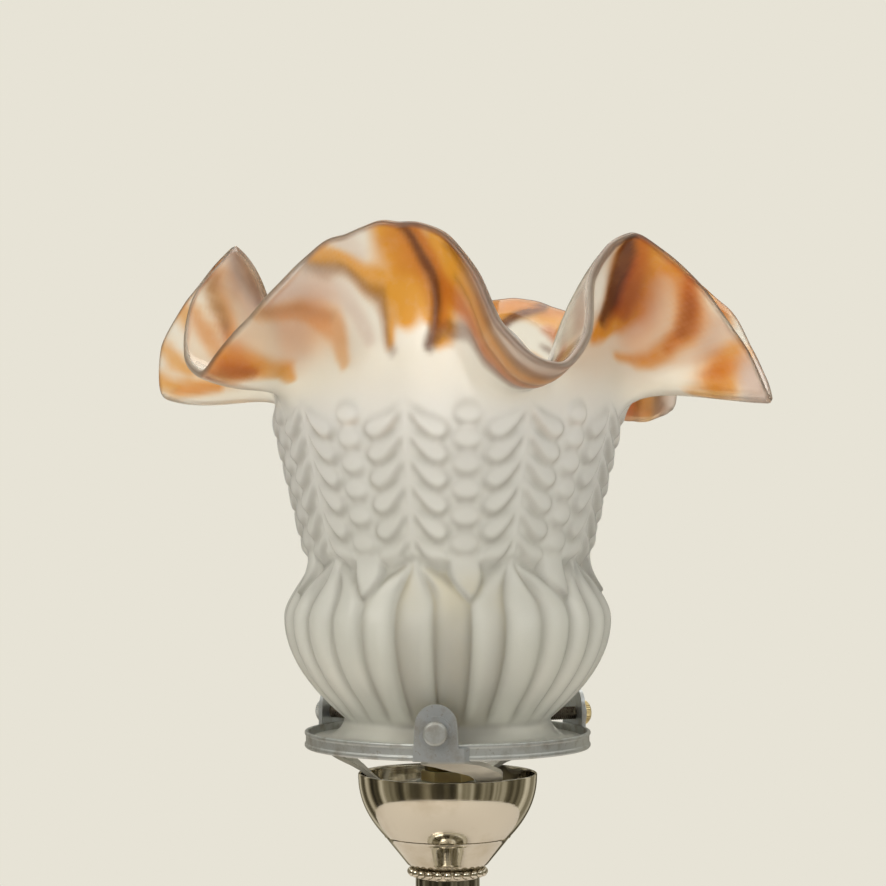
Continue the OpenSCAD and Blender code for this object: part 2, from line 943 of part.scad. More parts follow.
brow_r = foot_disc_r + 1.2;
brow_h = 1.4;
foot_band_r = base_r - 1.5;
band_foot = 5.0;
bell_foot_r = foot_band_r - 7.5;
bell_foot_z = base_h - 21.5;
band_top = bell_foot_z - 3.5;
inlet_z = (band_top + band_foot) / 2;

// The bell between the brow and its foot, u running down it
function bell(u) = [mix(brow_r, bell_foot_r, u), mix(base_h - brow_h, bell_foot_z, ease(u))];

// Outer face from the hole at the top, down and out to the foot ring
SHELL_PATH = concat(
    [
        [base_r, shell_foot],
        [base_r, band_foot - 1.6],
        [base_r - 0.5, band_foot - 0.6],
        [foot_band_r, band_foot],
        [foot_band_r, band_top],
        [foot_band_r - 0.5, band_top + 1.2],
        [foot_band_r - 1.6, band_top + 2.0],
        [bell_foot_r + 3.2, band_top + 2.4],
        [bell_foot_r + 2.2, bell_foot_z - 0.5],
    ],
    [for (i = [16:-1:0]) bell(i / 16)],
    [
        [brow_r - 0.6, base_h - 0.5],
        [brow_r - 1.6, base_h],
        [rod_hole_r, base_h],
    ]
);

module base_shell() {
    color("#bdb7a9")
        difference() {
            spun(SHELL_PATH, base_wall);
            outward(90, inlet_z)
                translate([0, 0, foot_band_r - over / 2])
                    cylinder(r = inlet_body_r + slip, h = over);
        }
}

ballast_r = foot_band_r - 11.5;
ballast_rim_h = 11.0;
ballast_gap = 1.6;
ballast_neck_r = brow_r - 2.4;
recess_r = 20.0;
recess_top = plate_top + 9.0;
channel_w = 10.0;
channel_top = plate_top + 11.0;

BALLAST_PATH = concat(
    [[rod_hole_r, plate_top], [ballast_r, plate_top], [ballast_r, plate_top + ballast_rim_h]],
    [for (i = [14:-2:2]) bell(i / 16) - [ballast_gap, base_wall + ballast_gap]],
    [
        [ballast_neck_r, base_h - base_wall - 2],
        [ballast_neck_r, base_h - base_wall],
        [rod_hole_r, base_h - base_wall],
    ]
);

screw_ring_r = 45.0;
PLATE_SCREW_ANGLES = [30, 150, 270];
plate_screw_r = 2.0;
plate_screw_len = 9.0;
earth_x = -15.5;
earth_head_r = 3.4;
earth_head_t = 2.4;
earth_len = 7.0;

module ballast() {
    color("#3d3c3b")
        difference() {
            rotate_extrude()
                polygon(BALLAST_PATH);
            translate([0, 0, plate_top - 1])
                cylinder(r = recess_r, h = recess_top - plate_top + 1);
            translate([-channel_w / 2, 0, plate_top - 1])
                cube([channel_w, base_r, channel_top - plate_top + 1]);
            for (a = PLATE_SCREW_ANGLES)
                rotate([0, 0, a])
                    translate([screw_ring_r, 0, plate_top - 1])
                        cylinder(r = plate_screw_r + slip, h = plate_screw_len + 1.5);
            translate([earth_x, 0, recess_top - 1])
                cylinder(r = plate_screw_r + slip, h = earth_len + 2);
        }
}

base_washer_r = 11.0;
base_washer_t = 1.5;
base_nut_h = 5.0;

module base_washer() {
    color("#a9adb0")
        translate([0, 0, recess_top - base_washer_t])
            ring(base_washer_r, rod_hole_r, base_washer_t);
}

module base_nut() {
    color("#a9adb0")
        translate([0, 0, recess_top - base_washer_t - base_nut_h])
            hex_nut(nut_side_r, rod_hole_r, base_nut_h);
}

plate_r = base_r - base_wall - 2.2;
screw_sink = 3.5;

module base_plate() {
    color("#8f9193")
        translate([0, 0, felt_t])
            difference() {
                cylinder(r = plate_r, h = plate_t);
                for (a = PLATE_SCREW_ANGLES)
                    rotate([0, 0, a])
                        translate([screw_ring_r, 0, -0.01])
                            cylinder(r1 = screw_sink + slip, r2 = plate_screw_r + slip, h = plate_t + 0.02);
            }
}

module plate_screws() {
    color("#a9adb0")
        for (a = PLATE_SCREW_ANGLES)
            rotate([0, 0, a])
                translate([screw_ring_r, 0, felt_t]) {
                    cylinder(r1 = screw_sink, r2 = plate_screw_r, h = plate_t);
                    translate([0, 0, plate_t])
                        cylinder(r = plate_screw_r, h = plate_screw_len);
                }
}

module felt_pad() {
    color("#2f4a38")
        cylinder(r = plate_r - 0.8, h = felt_t);
}

inlet_body_r = flex_r + 1.1;
inlet_flange_r = flex_r + 2.7;
inlet_flange_t = 1.4;
inlet_len = 8.0;
inlet_nut_t = 3.0;

module inlet_bush() {
    color("#1f1d1b")
        outward(90, inlet_z)
            difference() {
                union() {
                    translate([0, 0, foot_band_r - inlet_len])
                        cylinder(r = inlet_body_r, h = inlet_len + 0.5);
                    translate([0, 0, foot_band_r])
                        cylinder(r = inlet_flange_r, h = inlet_flange_t);
                }
                translate([0, 0, foot_band_r - over])
                    cylinder(r = flex_r, h = 2 * over);
            }
}

module inlet_nut() {
    color("#1f1d1b")
        outward(90, inlet_z)
            translate([0, 0, foot_band_r - base_wall - 0.4 - inlet_nut_t])
                ring(inlet_body_r + 1.8, inlet_body_r + slip, inlet_nut_t);
}

module earth_screw() {
    color("#c8a951")
        translate([earth_x, 0, recess_top]) {
            translate([0, 0, -earth_head_t])
                cylinder(r = earth_head_r, h = earth_head_t);
            cylinder(r = plate_screw_r, h = earth_len);
        }
}

glass_shade();
gallery_hoop();
gallery_spider();
front_screw_shank();
front_screw_head();
right_screw_shank();
right_screw_head();
left_screw_shank();
left_screw_head();
bulb_glass();
bulb_cap();
bulb_insulator();
bulb_contacts();
bulb_stem();
bulb_filament();
lampholder_cap();
lampholder_barrel();
lampholder_ring();
lampholder_core();
contact_plungers();
plunger_springs();
terminal_screws();
hub_washer();
hub_nut();
spacer_tube();
cup();
beaded_collar();
column_tube();
threaded_rod();
foot_collar();
base_shell();
ballast();
base_washer();
base_nut();
base_plate();
plate_screws();
felt_pad();
inlet_bush();
inlet_nut();
earth_screw();
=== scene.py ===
"""Looks of a table lamp: a ruffled, satin-etched tulip shade in a three-screw gallery,
over a spun cup, a slim column and a weighted round base.

Sizes are in millimetres and become metres where a mesh is made. +Z is up, the front is -Y
and the origin is the middle of the felt on the table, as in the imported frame.
"""

import sys
import json
import logging
import math
from dataclasses import dataclass
from enum import Enum
from typing import Sequence

import bmesh
import bpy
import numpy as np
from mathutils import Matrix, Vector


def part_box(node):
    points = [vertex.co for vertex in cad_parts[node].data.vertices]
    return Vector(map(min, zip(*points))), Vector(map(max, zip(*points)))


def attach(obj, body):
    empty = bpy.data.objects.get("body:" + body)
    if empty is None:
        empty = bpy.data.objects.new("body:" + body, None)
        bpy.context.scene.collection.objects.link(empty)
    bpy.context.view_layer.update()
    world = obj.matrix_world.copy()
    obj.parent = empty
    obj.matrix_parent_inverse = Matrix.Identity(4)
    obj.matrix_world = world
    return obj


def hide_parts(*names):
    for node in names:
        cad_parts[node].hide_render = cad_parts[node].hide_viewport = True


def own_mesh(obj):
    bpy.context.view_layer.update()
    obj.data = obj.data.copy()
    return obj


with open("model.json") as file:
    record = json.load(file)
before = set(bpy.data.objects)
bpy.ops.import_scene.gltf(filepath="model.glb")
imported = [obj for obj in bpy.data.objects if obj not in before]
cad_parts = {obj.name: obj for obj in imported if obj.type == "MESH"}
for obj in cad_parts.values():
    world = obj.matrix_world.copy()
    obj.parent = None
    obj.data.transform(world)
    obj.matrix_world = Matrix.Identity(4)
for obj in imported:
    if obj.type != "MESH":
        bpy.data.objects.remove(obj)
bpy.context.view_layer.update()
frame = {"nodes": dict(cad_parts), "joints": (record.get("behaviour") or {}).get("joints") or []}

LOG = logging.getLogger("lamp")
MM = 0.001
TINY = 1e-6
BORE = 5.05  # radius of the holes that the threaded rod goes through
Array = np.ndarray
Path = Sequence[Sequence[float]]
Mesh = bpy.types.Mesh
Piece = bpy.types.Object
Node = bpy.types.Node
Socket = bpy.types.NodeSocket


# ---- Shapes ----


def span(node: str) -> tuple[Array, Array]:
    """Gives the lowest and highest corner of a CAD node, in millimetres."""
    low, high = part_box(node)
    return np.array(low) / MM, np.array(high) / MM


def mix(a: float, b: float, share: float) -> float:
    """Goes from a to b as share goes from 0 to 1; arrays may stand for any of them."""
    return a + (b - a) * share


def ramp(low: float, high: float, x: Array) -> Array:
    """Rises smoothly from 0 at low to 1 at high."""
    share = np.clip((x - low) / (high - low), 0, 1)
    return share * share * (3 - 2 * share)


def ring(radius: Array, turn: Array, height: Array) -> Array:
    """Gives points round Z from radii, turns in radians and heights."""
    return np.stack([radius * np.cos(turn), radius * np.sin(turn), 0 * turn + height], axis=-1)


def grid(rows: int, columns: int, start: int = 0) -> list[list[int]]:
    """Joins rows of points that each close round Z with four-sided faces.

    Args:
        rows: how many rows there are.
        columns: how many points each row has.
        start: the first point's number.

    Returns:
        The faces.
    """
    faces = []
    for low in range(start, start + (rows - 1) * columns, columns):
        high = low + columns
        for j in range(columns):
            k = (j + 1) % columns
            faces.append([low + j, low + k, high + k, high + j])
    return faces


def inset(path: Array, wall: float) -> Array:
    """Shifts an outline to its left, which is inward for one that runs up the outside.

    Args:
        path: points as (radius, height).
        wall: how far it goes.

    Returns:
        The shifted points.
    """
    along = np.gradient(path, axis=0)
    left = np.stack([-along[:, 1], along[:, 0]], axis=1)
    return path + wall * left / np.linalg.norm(left, axis=1, keepdims=True)


def filleted(outline: Path, arc_steps: int = 5) -> list[tuple[float, float]]:
    """Rounds the corners of a closed outline.

    Args:
        outline: corners as (radius, height) or (radius, height, fillet radius).
        arc_steps: how many steps each fillet has.

    Returns:
        The outline's points with an arc in place of each corner that has a fillet.
    """
    nearly_straight = 1.55
    done = []
    for i, corner in enumerate(outline):
        here = np.array(corner[:2], float)
        fillet = corner[2] if len(corner) > 2 else 0.0
        before = np.array(outline[i - 1][:2], float) - here
        after = np.array(outline[(i + 1) % len(outline)][:2], float) - here
        reach = [np.linalg.norm(before), np.linalg.norm(after)]
        half = nearly_straight + 1
        if fillet > 0 and min(reach) >= TINY:
            before, after = before / reach[0], after / reach[1]
            half = math.acos(float(np.clip(before @ after, -1, 1))) / 2
        if half > nearly_straight:
            done.append(tuple(here))
            continue
        cut = min(fillet / math.tan(half), 0.49 * reach[0], 0.49 * reach[1])
        radius = cut * math.tan(half)
        toward = (before + after) / np.linalg.norm(before + after)
        middle = here + toward * radius / math.sin(half)
        start, end = here + before * cut - middle, here + after * cut - middle
        sweep = math.atan2(start[0] * end[1] - start[1] * end[0], float(start @ end))
        for k in range(arc_steps + 1):
            c, s = math.cos(sweep * k / arc_steps), math.sin(sweep * k / arc_steps)
            done.append(tuple(middle + (start[0] * c - start[1] * s, start[0] * s + start[1] * c)))
    return done


def mesh_from(name: str, points: Array, faces: Path, sharp_degrees: float = 40) -> Mesh:
    """Makes a smooth-shaded mesh whose faces point outward.

    Args:
        name: the mesh's name.
        points: its corners in millimetres.
        faces: corner numbers of each face.
        sharp_degrees: edges that turn by more than this stay sharp.

    Returns:
        The mesh, in metres.
    """
    mesh = bpy.data.meshes.new(name)
    mesh.from_pydata((np.asarray(points) * MM).tolist(), [], [list(f) for f in faces])
    work = bmesh.new()
    work.from_mesh(mesh)
    bmesh.ops.remove_doubles(work, verts=work.verts, dist=1e-7)
    bmesh.ops.recalc_face_normals(work, faces=work.faces)
    if work.calc_volume(signed=True) < 0:
        bmesh.ops.reverse_faces(work, faces=work.faces)
    work.to_mesh(mesh)
    work.free()
    mesh.shade_smooth()
    mesh.set_sharp_from_angle(angle=math.radians(sharp_degrees))
    return mesh


def turned(name: str, outline: Path, steps: int = 160, closed: bool = True) -> Mesh:
    """Turns an outline round Z, as a lathe does.

    Args:
        name: the mesh's name.
        outline: points as (radius, height), in order; a radius of 0 makes a pole.
        steps: how many steps the turn has.
        closed: joins the last point to the first; off for an outline that runs pole to pole.

    Returns:
        The turned mesh.
    """
    turns = 2 * np.pi * np.arange(steps) / steps
    points: list[Sequence[float]] = []
    rings: list[list[int]] = []
    for radius, height in outline:
        start = len(points)
        if radius < TINY:
            points.append((0.0, 0.0, height))
            rings.append([start] * steps)
        else:
            points.extend(ring(radius, turns, height))
            rings.append(list(range(start, start + steps)))
    faces = []
    for i in range(len(rings) if closed else len(rings) - 1):
        low, high = rings[i], rings[(i + 1) % len(rings)]
        for j in range(steps):
            k = (j + 1) % steps
            corners = list(dict.fromkeys([low[j], low[k], high[k], high[j]]))
            if len(corners) > 2:
                faces.append(corners)
    return mesh_from(name, np.array(points), faces)


def outward_frame(direction: Vector, place: Vector) -> Matrix:
    """Takes a piece drawn up Z to a place in metres, with its Z along a direction."""
    return Matrix.Translation(place) @ direction.to_track_quat("Z", "Y").to_matrix().to_4x4()


def linked(name: str, data: bpy.types.ID | None) -> Piece:
    """Makes an object and puts it in the scene.

    Args:
        name: its name.
        data: its mesh, light or camera.

    Returns:
        The object.
    """
    made = bpy.data.objects.new(name, data)
    bpy.context.scene.collection.objects.link(made)
    return made


def evaluated(item: Piece) -> Mesh:
    """Gives a new mesh of an object with its modifiers applied."""
    depsgraph = bpy.context.evaluated_depsgraph_get()
    return bpy.data.meshes.new_from_object(item.evaluated_get(depsgraph))


# ---- Nodes ----


def linear(hex_colour: str) -> tuple[float, float, float, float]:
    """Turns an sRGB colour written in hex into a linear one.

    Args:
        hex_colour: six hex digits after a hash.

    Returns:
        Red, green, blue and an alpha of 1.
    """
    parts = [int(hex_colour[i : i + 2], 16) / 255 for i in (1, 3, 5)]
    red, green, blue = (p / 12.92 if p <= 0.04045 else ((p + 0.055) / 1.055) ** 2.4 for p in parts)
    return red, green, blue, 1.0


@dataclass(frozen=True)
class Nodes:
    """A node tree that is being filled.

    Args:
        tree: the tree.
    """

    tree: bpy.types.NodeTree

    @classmethod
    def fresh(cls, owner: bpy.types.Material | bpy.types.World) -> "Nodes":
        """Turns a material's or a world's nodes on and clears them.

        Args:
            owner: the material or world.

        Returns:
            Its empty tree.
        """
        owner.use_nodes = True
        owner.node_tree.nodes.clear()
        return cls(owner.node_tree)

    def add(self, kind: str, inputs: dict | None = None, **settings: object) -> Node:
        """Adds a node.

        Args:
            kind: the node's type name.
            inputs: a value, an output or a node (for its first output) for each socket.
            **settings: properties to set.

        Returns:
            The new node.
        """
        made = self.tree.nodes.new(kind)
        for name, value in settings.items():
            setattr(made, name, value)
        for key, value in (inputs or {}).items():
            if isinstance(value, Node):
                value = value.outputs[0]
            if isinstance(value, Socket):
                self.tree.links.new(value, made.inputs[key])
            else:
                made.inputs[key].default_value = value
        return made

    def noise(
        self, place: Socket, size_mm: float, detail: float = 2.0, rough: float = 0.5
    ) -> Socket:
        """Adds clouds of noise.

        Args:
            place: the coordinates.
            size_mm: the clouds' size.
            detail: how many finer layers they have.
            rough: how strong the finer layers are.

        Returns:
            The noise, about 0.5.
        """
        scale = 1 / (size_mm * MM)
        inputs = {"Vector": place, "Scale": scale, "Detail": detail, "Roughness": rough}
        return self.add("ShaderNodeTexNoise", inputs).outputs["Fac"]

    def remap(self, value: Socket, low: float, high: float, start: float = 0.0,
              end: float = 1.0, how: str = "LINEAR") -> Socket:
        """Maps a range to another one and holds it at both ends.

        Args:
            value: what is mapped.
            low: the value that gives start.
            high: the value that gives end.
            start: the result at low.
            end: the result at high.
            how: the way between them.

        Returns:
            The result.
        """
        inputs = {"Value": value, "From Min": low, "From Max": high, "To Min": start, "To Max": end}
        return self.add("ShaderNodeMapRange", inputs, interpolation_type=how).outputs["Result"]

    def maths(self, operation: str, *values: Socket | float, clamp: bool = False) -> Socket:
        """Adds a sum, product or the like of some values."""
        inputs = dict(enumerate(values))
        return self.add("ShaderNodeMath", inputs, operation=operation, use_clamp=clamp).outputs[0]

    def blend(self, share: Socket, under: Socket | tuple, over: Socket | tuple) -> Socket:
        """Goes from one colour to another as share goes from 0 to 1."""
        return self.add("ShaderNodeMix", {0: share, 6: under, 7: over}, data_type="RGBA").outputs[2]

    def bump(self, height: Socket, strength: float, depth_mm: float) -> Socket:
        """Turns a height into a bumped normal."""
        inputs = {"Strength": strength, "Distance": depth_mm * MM, "Height": height}
        return self.add("ShaderNodeBump", inputs).outputs["Normal"]

    def height(self, place: Socket) -> Socket:
        """Gives the height of a place, in metres."""
        return self.add("ShaderNodeSeparateXYZ", {"Vector": place}).outputs["Z"]

    def attribute(self, name: str) -> Socket:
        """Reads an attribute of the mesh."""
        settings = {"attribute_type": "GEOMETRY", "attribute_name": name}
        return self.add("ShaderNodeAttribute", **settings).outputs["Fac"]


# ---- Finishes ----


@dataclass(frozen=True)
class Finish:
    """What a surface is made of. Each kind paints its own nodes.

    Args:
        name: the material's name.
        slot_name: the record's material slot; not used.
    """

    name: str
    slot_name: str

    def material(self) -> bpy.types.Material:
        """Makes this finish's material the first time, and gives the same one after that.

        Returns:
            The material.
        """
        ready = bpy.data.materials.get(self.name)
        if ready is not None:
            return ready
        made = bpy.data.materials.new(self.name)
        nodes = Nodes.fresh(made)
        place = nodes.add("ShaderNodeTexCoord").outputs["Object"]
        shader = nodes.add("ShaderNodeBsdfPrincipled", self.paint(nodes, place))
        nodes.add("ShaderNodeOutputMaterial", {"Surface": shader})
        return made

    def paint(self, nodes: Nodes, place: Socket) -> dict:
        """Adds the finish's own nodes.

        Args:
            nodes: the material's nodes.
            place: the object's coordinates.

        Returns:
            The Principled shader's inputs.
        """
        raise NotImplementedError


class Lay(Enum):
    """Which way the fine lines of a metal surface run."""

    ROUND = (0.02, 0.02, 1.0)
    UP = (1.0, 1.0, 0.02)
    LOOSE = (1.0, 1.0, 1.0)


@dataclass(frozen=True)
class Metal(Finish):
    """Plated or bare metal: clouds of tarnish, fine lines from how it was worked, and pits.

    The clouds change the colour and the gloss a little from place to place, the lines stretch
    highlights across themselves, and the pits are the dark specks of an old plating.
    """

    colour: str
    tarnish: str
    roughness: float = 0.15
    dullness: float = 0.12
    cloud_mm: float = 9.0
    line_mm: float = 0.35
    line_depth_mm: float = 0.004
    lay: Lay = Lay.LOOSE
    pit_mm: float = 1.1
    pitting: float = 0.2
    bare: float = 1.0

    def paint(self, nodes: Nodes, place: Socket) -> dict:
        """Paints tarnish, lines and pits.

        Args:
            nodes: the material's nodes.
            place: the object's coordinates.

        Returns:
            The Principled shader's inputs.
        """
        cloud = nodes.remap(nodes.noise(place, self.cloud_mm, 5.0, 0.6), 0.48, 0.72)
        pit_from = 0.68 - 0.2 * self.pitting
        pit_share = min(1.0, 3 * self.pitting)
        speck = nodes.noise(place, self.pit_mm)
        pit = nodes.remap(speck, pit_from, pit_from + 0.08, end=pit_share)
        stain = nodes.maths("MAXIMUM", cloud, pit)
        scale = Vector(self.lay.value) / (self.line_mm * MM)
        stretched = nodes.add("ShaderNodeMapping", {"Vector": place, "Scale": scale})
        lines = nodes.noise(stretched.outputs["Vector"], 1 / MM, 3.0, 0.7)
        dulled = nodes.maths("MULTIPLY_ADD", stain, self.dullness, self.roughness)
        lined = 0.4 * self.roughness
        sunk = nodes.maths("SUBTRACT", lines, pit)
        return {
            "Base Color": nodes.blend(stain, linear(self.colour), linear(self.tarnish)),
            "Roughness": nodes.maths("MULTIPLY_ADD", lines, lined, dulled, clamp=True),
            "Normal": nodes.bump(sunk, 0.6, 6 * self.line_depth_mm),
            "Metallic": self.bare,
        }


@dataclass(frozen=True)
class StrapPlate(Metal):
    """Worn plate that is brighter, and a little yellow, on the straps under the hoop."""

    strap_colour: str = "#cfcdc6"
    hoop_foot_mm: float = 258.5

    def paint(self, nodes: Nodes, place: Socket) -> dict:
        """Paints the plate and brightens the straps.

        Args:
            nodes: the material's nodes.
            place: the object's coordinates.

        Returns:
            The Principled shader's inputs.
        """
        feeds = super().paint(nodes, place)
        low, high = (self.hoop_foot_mm - 0.2) * MM, (self.hoop_foot_mm + 0.3) * MM
        under = nodes.remap(nodes.height(place), low, high, 0.85, 0.0)
        brighter = nodes.blend(under, feeds["Base Color"], linear(self.strap_colour))
        return feeds | {"Base Color": brighter}


@dataclass(frozen=True)
class ShadeGlass(Finish):
    """Pressed soda glass with amber and brown run into its ruffle.

    Etched in acid it scatters light like ground glass; left from the fire it is glossy. The
    colours are vertex attributes laid along the ruffle, and noise frays their edges. The body is
    painted from grey at the neck to white up high, as painted shade low down and painted light
    at the top. One layer is painted shade in the creases and under the raised pattern, and
    another a painted dark line along the rim.
    """

    roughness: float = 0.5
    flare_roughness: float = 0.32
    grain_mm: float = 0.35
    grain_depth_mm: float = 0.05
    clear: float = 0.83
    shaded_at: float = 0.262
    lit_at: float = 0.362
    shaded_colour: str = "#e9eae3"
    lit_colour: str = "#ffffff"
    layers: tuple[tuple[str, str, float], ...] = (
        ("milk", "#fdfaf1", 0.2),
        # Painted shade in the creases and under the raised pattern
        ("painted_shade", "#8f8c81", 0.0),
        ("blush", "#e9d9cf", 0.3),
        ("amber", "#eeaa36", 0.22),
        ("deep", "#cf7212", 0.25),
        ("brown", "#6c3610", 0.25),
        # Painted dark line along the rim, where the glass edge bends the light
        ("edge", "#9c8b7b", 0.2),
    )

    def paint(self, nodes: Nodes, place: Socket) -> dict:
        """Paints the milky body and, over it, each layer of (attribute, colour, fraying).

        Args:
            nodes: the material's nodes.
            place: the object's coordinates.

        Returns:
            The Principled shader's inputs.
        """
        # Painted shade: the body goes from a grey at the neck to white up high
        thin = nodes.remap(nodes.height(place), self.shaded_at, self.lit_at)
        drift = nodes.noise(place, 5, 3.0, 0.6)
        colour = nodes.blend(thin, linear(self.shaded_colour), linear(self.lit_colour))
        for name, over, fray in self.layers:
            frayed = nodes.maths("MULTIPLY_ADD", drift, 2 * fray, 1 - fray)
            share = nodes.maths("MULTIPLY", nodes.attribute(name), frayed, clamp=True)
            colour = nodes.blend(share, colour, linear(over))
        milk = nodes.attribute("milk")
        return {
            "Base Color": colour,
            "Roughness": nodes.remap(milk, 0.0, 1.0, self.roughness, self.flare_roughness),
            "Normal": nodes.bump(
                nodes.noise(place, self.grain_mm, 2.0, 0.6), 0.5, self.grain_depth_mm
            ),
            "IOR": 1.5,
            "Transmission Weight": self.clear,
        }


@dataclass(frozen=True)
class OpalGlass(Finish):
    """Opal-coated bulb glass: white and even, glossy outside, with a faint drift of thickness."""

    def paint(self, nodes: Nodes, place: Socket) -> dict:
        """Paints the opal coat.

        Args:
            nodes: the material's nodes.
            place: the object's coordinates.

        Returns:
            The Principled shader's inputs.
        """
        return {
            "Base Color": nodes.blend(nodes.noise(place, 18), linear("#faf8f2"), linear("#f1efe8")),
            "Roughness": 0.12,
            "IOR": 1.5,
            "Subsurface Weight": 0.3,
            "Subsurface Radius": (0.004, 0.004, 0.004),
            "Subsurface Scale": 1.0,
        }


@dataclass(frozen=True)
class ClearGlass(Finish):
    """Clear lead glass of a bulb's stem, with faint drawn lines."""

    def paint(self, nodes: Nodes, place: Socket) -> dict:
        """Paints clear glass.

        Args:
            nodes: the material's nodes.
            place: the object's coordinates.

        Returns:
            The Principled shader's inputs.
        """
        return {
            "Base Color": linear("#e4ecea"),
            "Roughness": 0.03,
            "Normal": nodes.bump(nodes.noise(place, 2, 1.0), 0.2, 0.02),
            "Transmission Weight": 0.95,
        }


@dataclass(frozen=True)
class Solid(Finish):
    """A painted, moulded, fired or felted surface: two close colours in a grain of its own."""

    colour: str
    second: str
    roughness: float = 0.5
    grain_mm: float = 1.0
    depth_mm: float = 0.02
    sheen: float = 0.0
    coat: float = 0.0

    def paint(self, nodes: Nodes, place: Socket) -> dict:
        """Paints the grain.

        Args:
            nodes: the material's nodes.
            place: the object's coordinates.

        Returns:
            The Principled shader's inputs.
        """
        grain = nodes.noise(place, self.grain_mm, 4.0, 0.65)
        share = nodes.remap(grain, 0.35, 0.65)
        return {
            "Base Color": nodes.blend(share, linear(self.colour), linear(self.second)),
            "Roughness": nodes.maths("MULTIPLY_ADD", grain, 0.2, self.roughness - 0.1, clamp=True),
            "Normal": nodes.bump(grain, 0.7, self.depth_mm),
            "Sheen Weight": self.sheen,
            "Coat Weight": self.coat,
        }


# Satin glass: a silky white outside that blurs all behind it
SATIN_GLASS = ShadeGlass("acid_etched_glass", "satin_glass")
# The inside was left from the fire: wet-looking highlights over the same colours
FIRED_GLASS = ShadeGlass("fire_polished_glass", "satin_glass", 0.08, 0.06, 3.0)
# Opal lamp glass: an even white globe
OPAL_GLASS = OpalGlass("opal_lamp_glass", "opal_glass")
# Clear lead glass: a bright line where the stem catches light
STEM_GLASS = ClearGlass("clear_lead_glass", "clear_glass")
# Old nickel worn dull by handling: grey, pitted, with brown stains
DULL_PLATE = Metal("worn_nickel_plate", "dull_plate", "#b9bdbd", "#96928b",
                   0.34, 0.12, 6.0, 0.5, 0.01, Lay.LOOSE, 1.3, 0.2, 0.8)
# The spider's plate, brighter and a little yellow on its straps below the hoop
STRAP_PLATE = StrapPlate("worn_strap_plate", "dull_plate", "#c0c5c9", "#a09c96",
                         0.26, 0.12, 6.0, 0.5, 0.01, Lay.LOOSE, 1.3, 0.2, 0.8)
# Polished nickel on spun brass: warm mirror with faint rings from spinning
SPUN_NICKEL = Metal("polished_nickel_plate", "nickel_plate", "#d9d3c6", "#c8bfae",
                    0.06, 0.07, 14.0, 0.5, 0.002, Lay.ROUND, 1.2, 0.05)
# Drawn nickel-plated tube: fine lines run along it
DRAWN_NICKEL = Metal("drawn_nickel_tube", "nickel_plate", "#979488", "#878375",
                     0.1, 0.08, 12.0, 0.4, 0.003, Lay.UP, 1.2, 0.06)
# Worn brass: yellow where rubbed, brown in the hollows
WORN_BRASS = Metal("worn_brass", "worn_brass", "#b99a58", "#6e5228",
                   0.28, 0.2, 3.0, 0.3, 0.008, Lay.LOOSE, 0.8, 0.35)
# Turned brass of the lampholder, painted dark olive rather than golden as painted shade for the dim
# middle seen through the melon, with fine turning rings
HOLDER_BRASS_SHADED = Metal("holder_brass_painted_dark", "holder_brass", "#77683f", "#453a20",
                     0.28, 0.15, 8.0, 0.25, 0.003, Lay.ROUND, 1.2, 0.2)
# Blackened steel of the screw shanks: dark, with an oily shine
DARK_STEEL = Metal("oiled_steel", "dark_steel", "#6d665c", "#39322a",
                   0.35, 0.2, 2.5, 0.3, 0.008, Lay.LOOSE, 0.7, 0.3)
# Zinc-plated steel: cool grey with a fine grain
ZINC_STEEL = Metal("zinc_plated_steel", "bright_steel", "#b4b8ba", "#85888a",
                   0.3, 0.15, 5.0, 0.3, 0.005, Lay.LOOSE, 1.0, 0.2)
# Tinned solder: soft bright grey
SOLDER = Metal("tinned_solder", "solder", "#c3c6c8", "#8f9294",
               0.35, 0.15, 2.0, 0.5, 0.02, Lay.LOOSE, 1.0, 0.3)
# Drawn tungsten: dark grey wire
TUNGSTEN = Metal("drawn_tungsten", "filament_wire", "#7a7b7f", "#55565a",
                 0.35, 0.1, 1.5, 0.2, 0.002, Lay.LOOSE, 0.6, 0.1)
# Glazed porcelain: cream, glossy, nearly smooth
PORCELAIN = Solid("glazed_porcelain", "porcelain", "#ebe5d6", "#e2dac8", 0.22, 4.0, 0.01, coat=0.6)
# Black glass under the bulb's cap: a deep even gloss
VITRITE = Solid("black_cap_glass", "black_glass", "#1d1b1a", "#262322", 0.15, 2.0, 0.01, coat=0.4)
# Cast iron in black paint: a sandy skin
CAST_IRON = Solid("painted_cast_iron", "ballast_iron", "#3a3937", "#2d2b2a", 0.62, 0.9, 0.25)
# Wool felt: dark green, fuzzy, no shine
WOOL_FELT = Solid("wool_felt", "green_felt", "#33503d", "#26402f", 0.95, 0.5, 0.3, sheen=0.5)
# Moulded black plastic of the flex bush: a soft, even shine
BLACK_MOULDING = Solid(
    "moulded_phenolic", "black_plastic", "#211f1d", "#2a2725", 0.38, 0.4, 0.01, coat=0.2
)


# ---- Placing pieces ----


def settle(
    name: str, mesh: Mesh, finish: Finish, body: str, *stands_for: str, dressed: bool = False
) -> Piece:
    """Makes an object of a mesh, gives it its finish and puts it on its body.

    Args:
        name: the piece's name.
        mesh: its mesh, in place.
        finish: its finish, which names its slot too.
        body: the body that it rides on.
        *stands_for: the CAD nodes that it replaces.
        dressed: the mesh has its materials already.

    Returns:
        The piece.
    """
    piece = linked(name, mesh)
    if not dressed:
        mesh.materials.clear()
        mesh.materials.append(finish.material())
    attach(piece, body)
    if stands_for:
        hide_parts(*stands_for)
    replaced = ", ".join(stands_for) or "detail"
    LOG.info("%s: %d faces, on %s, for %s", name, len(mesh.polygons), body, replaced)
    return piece


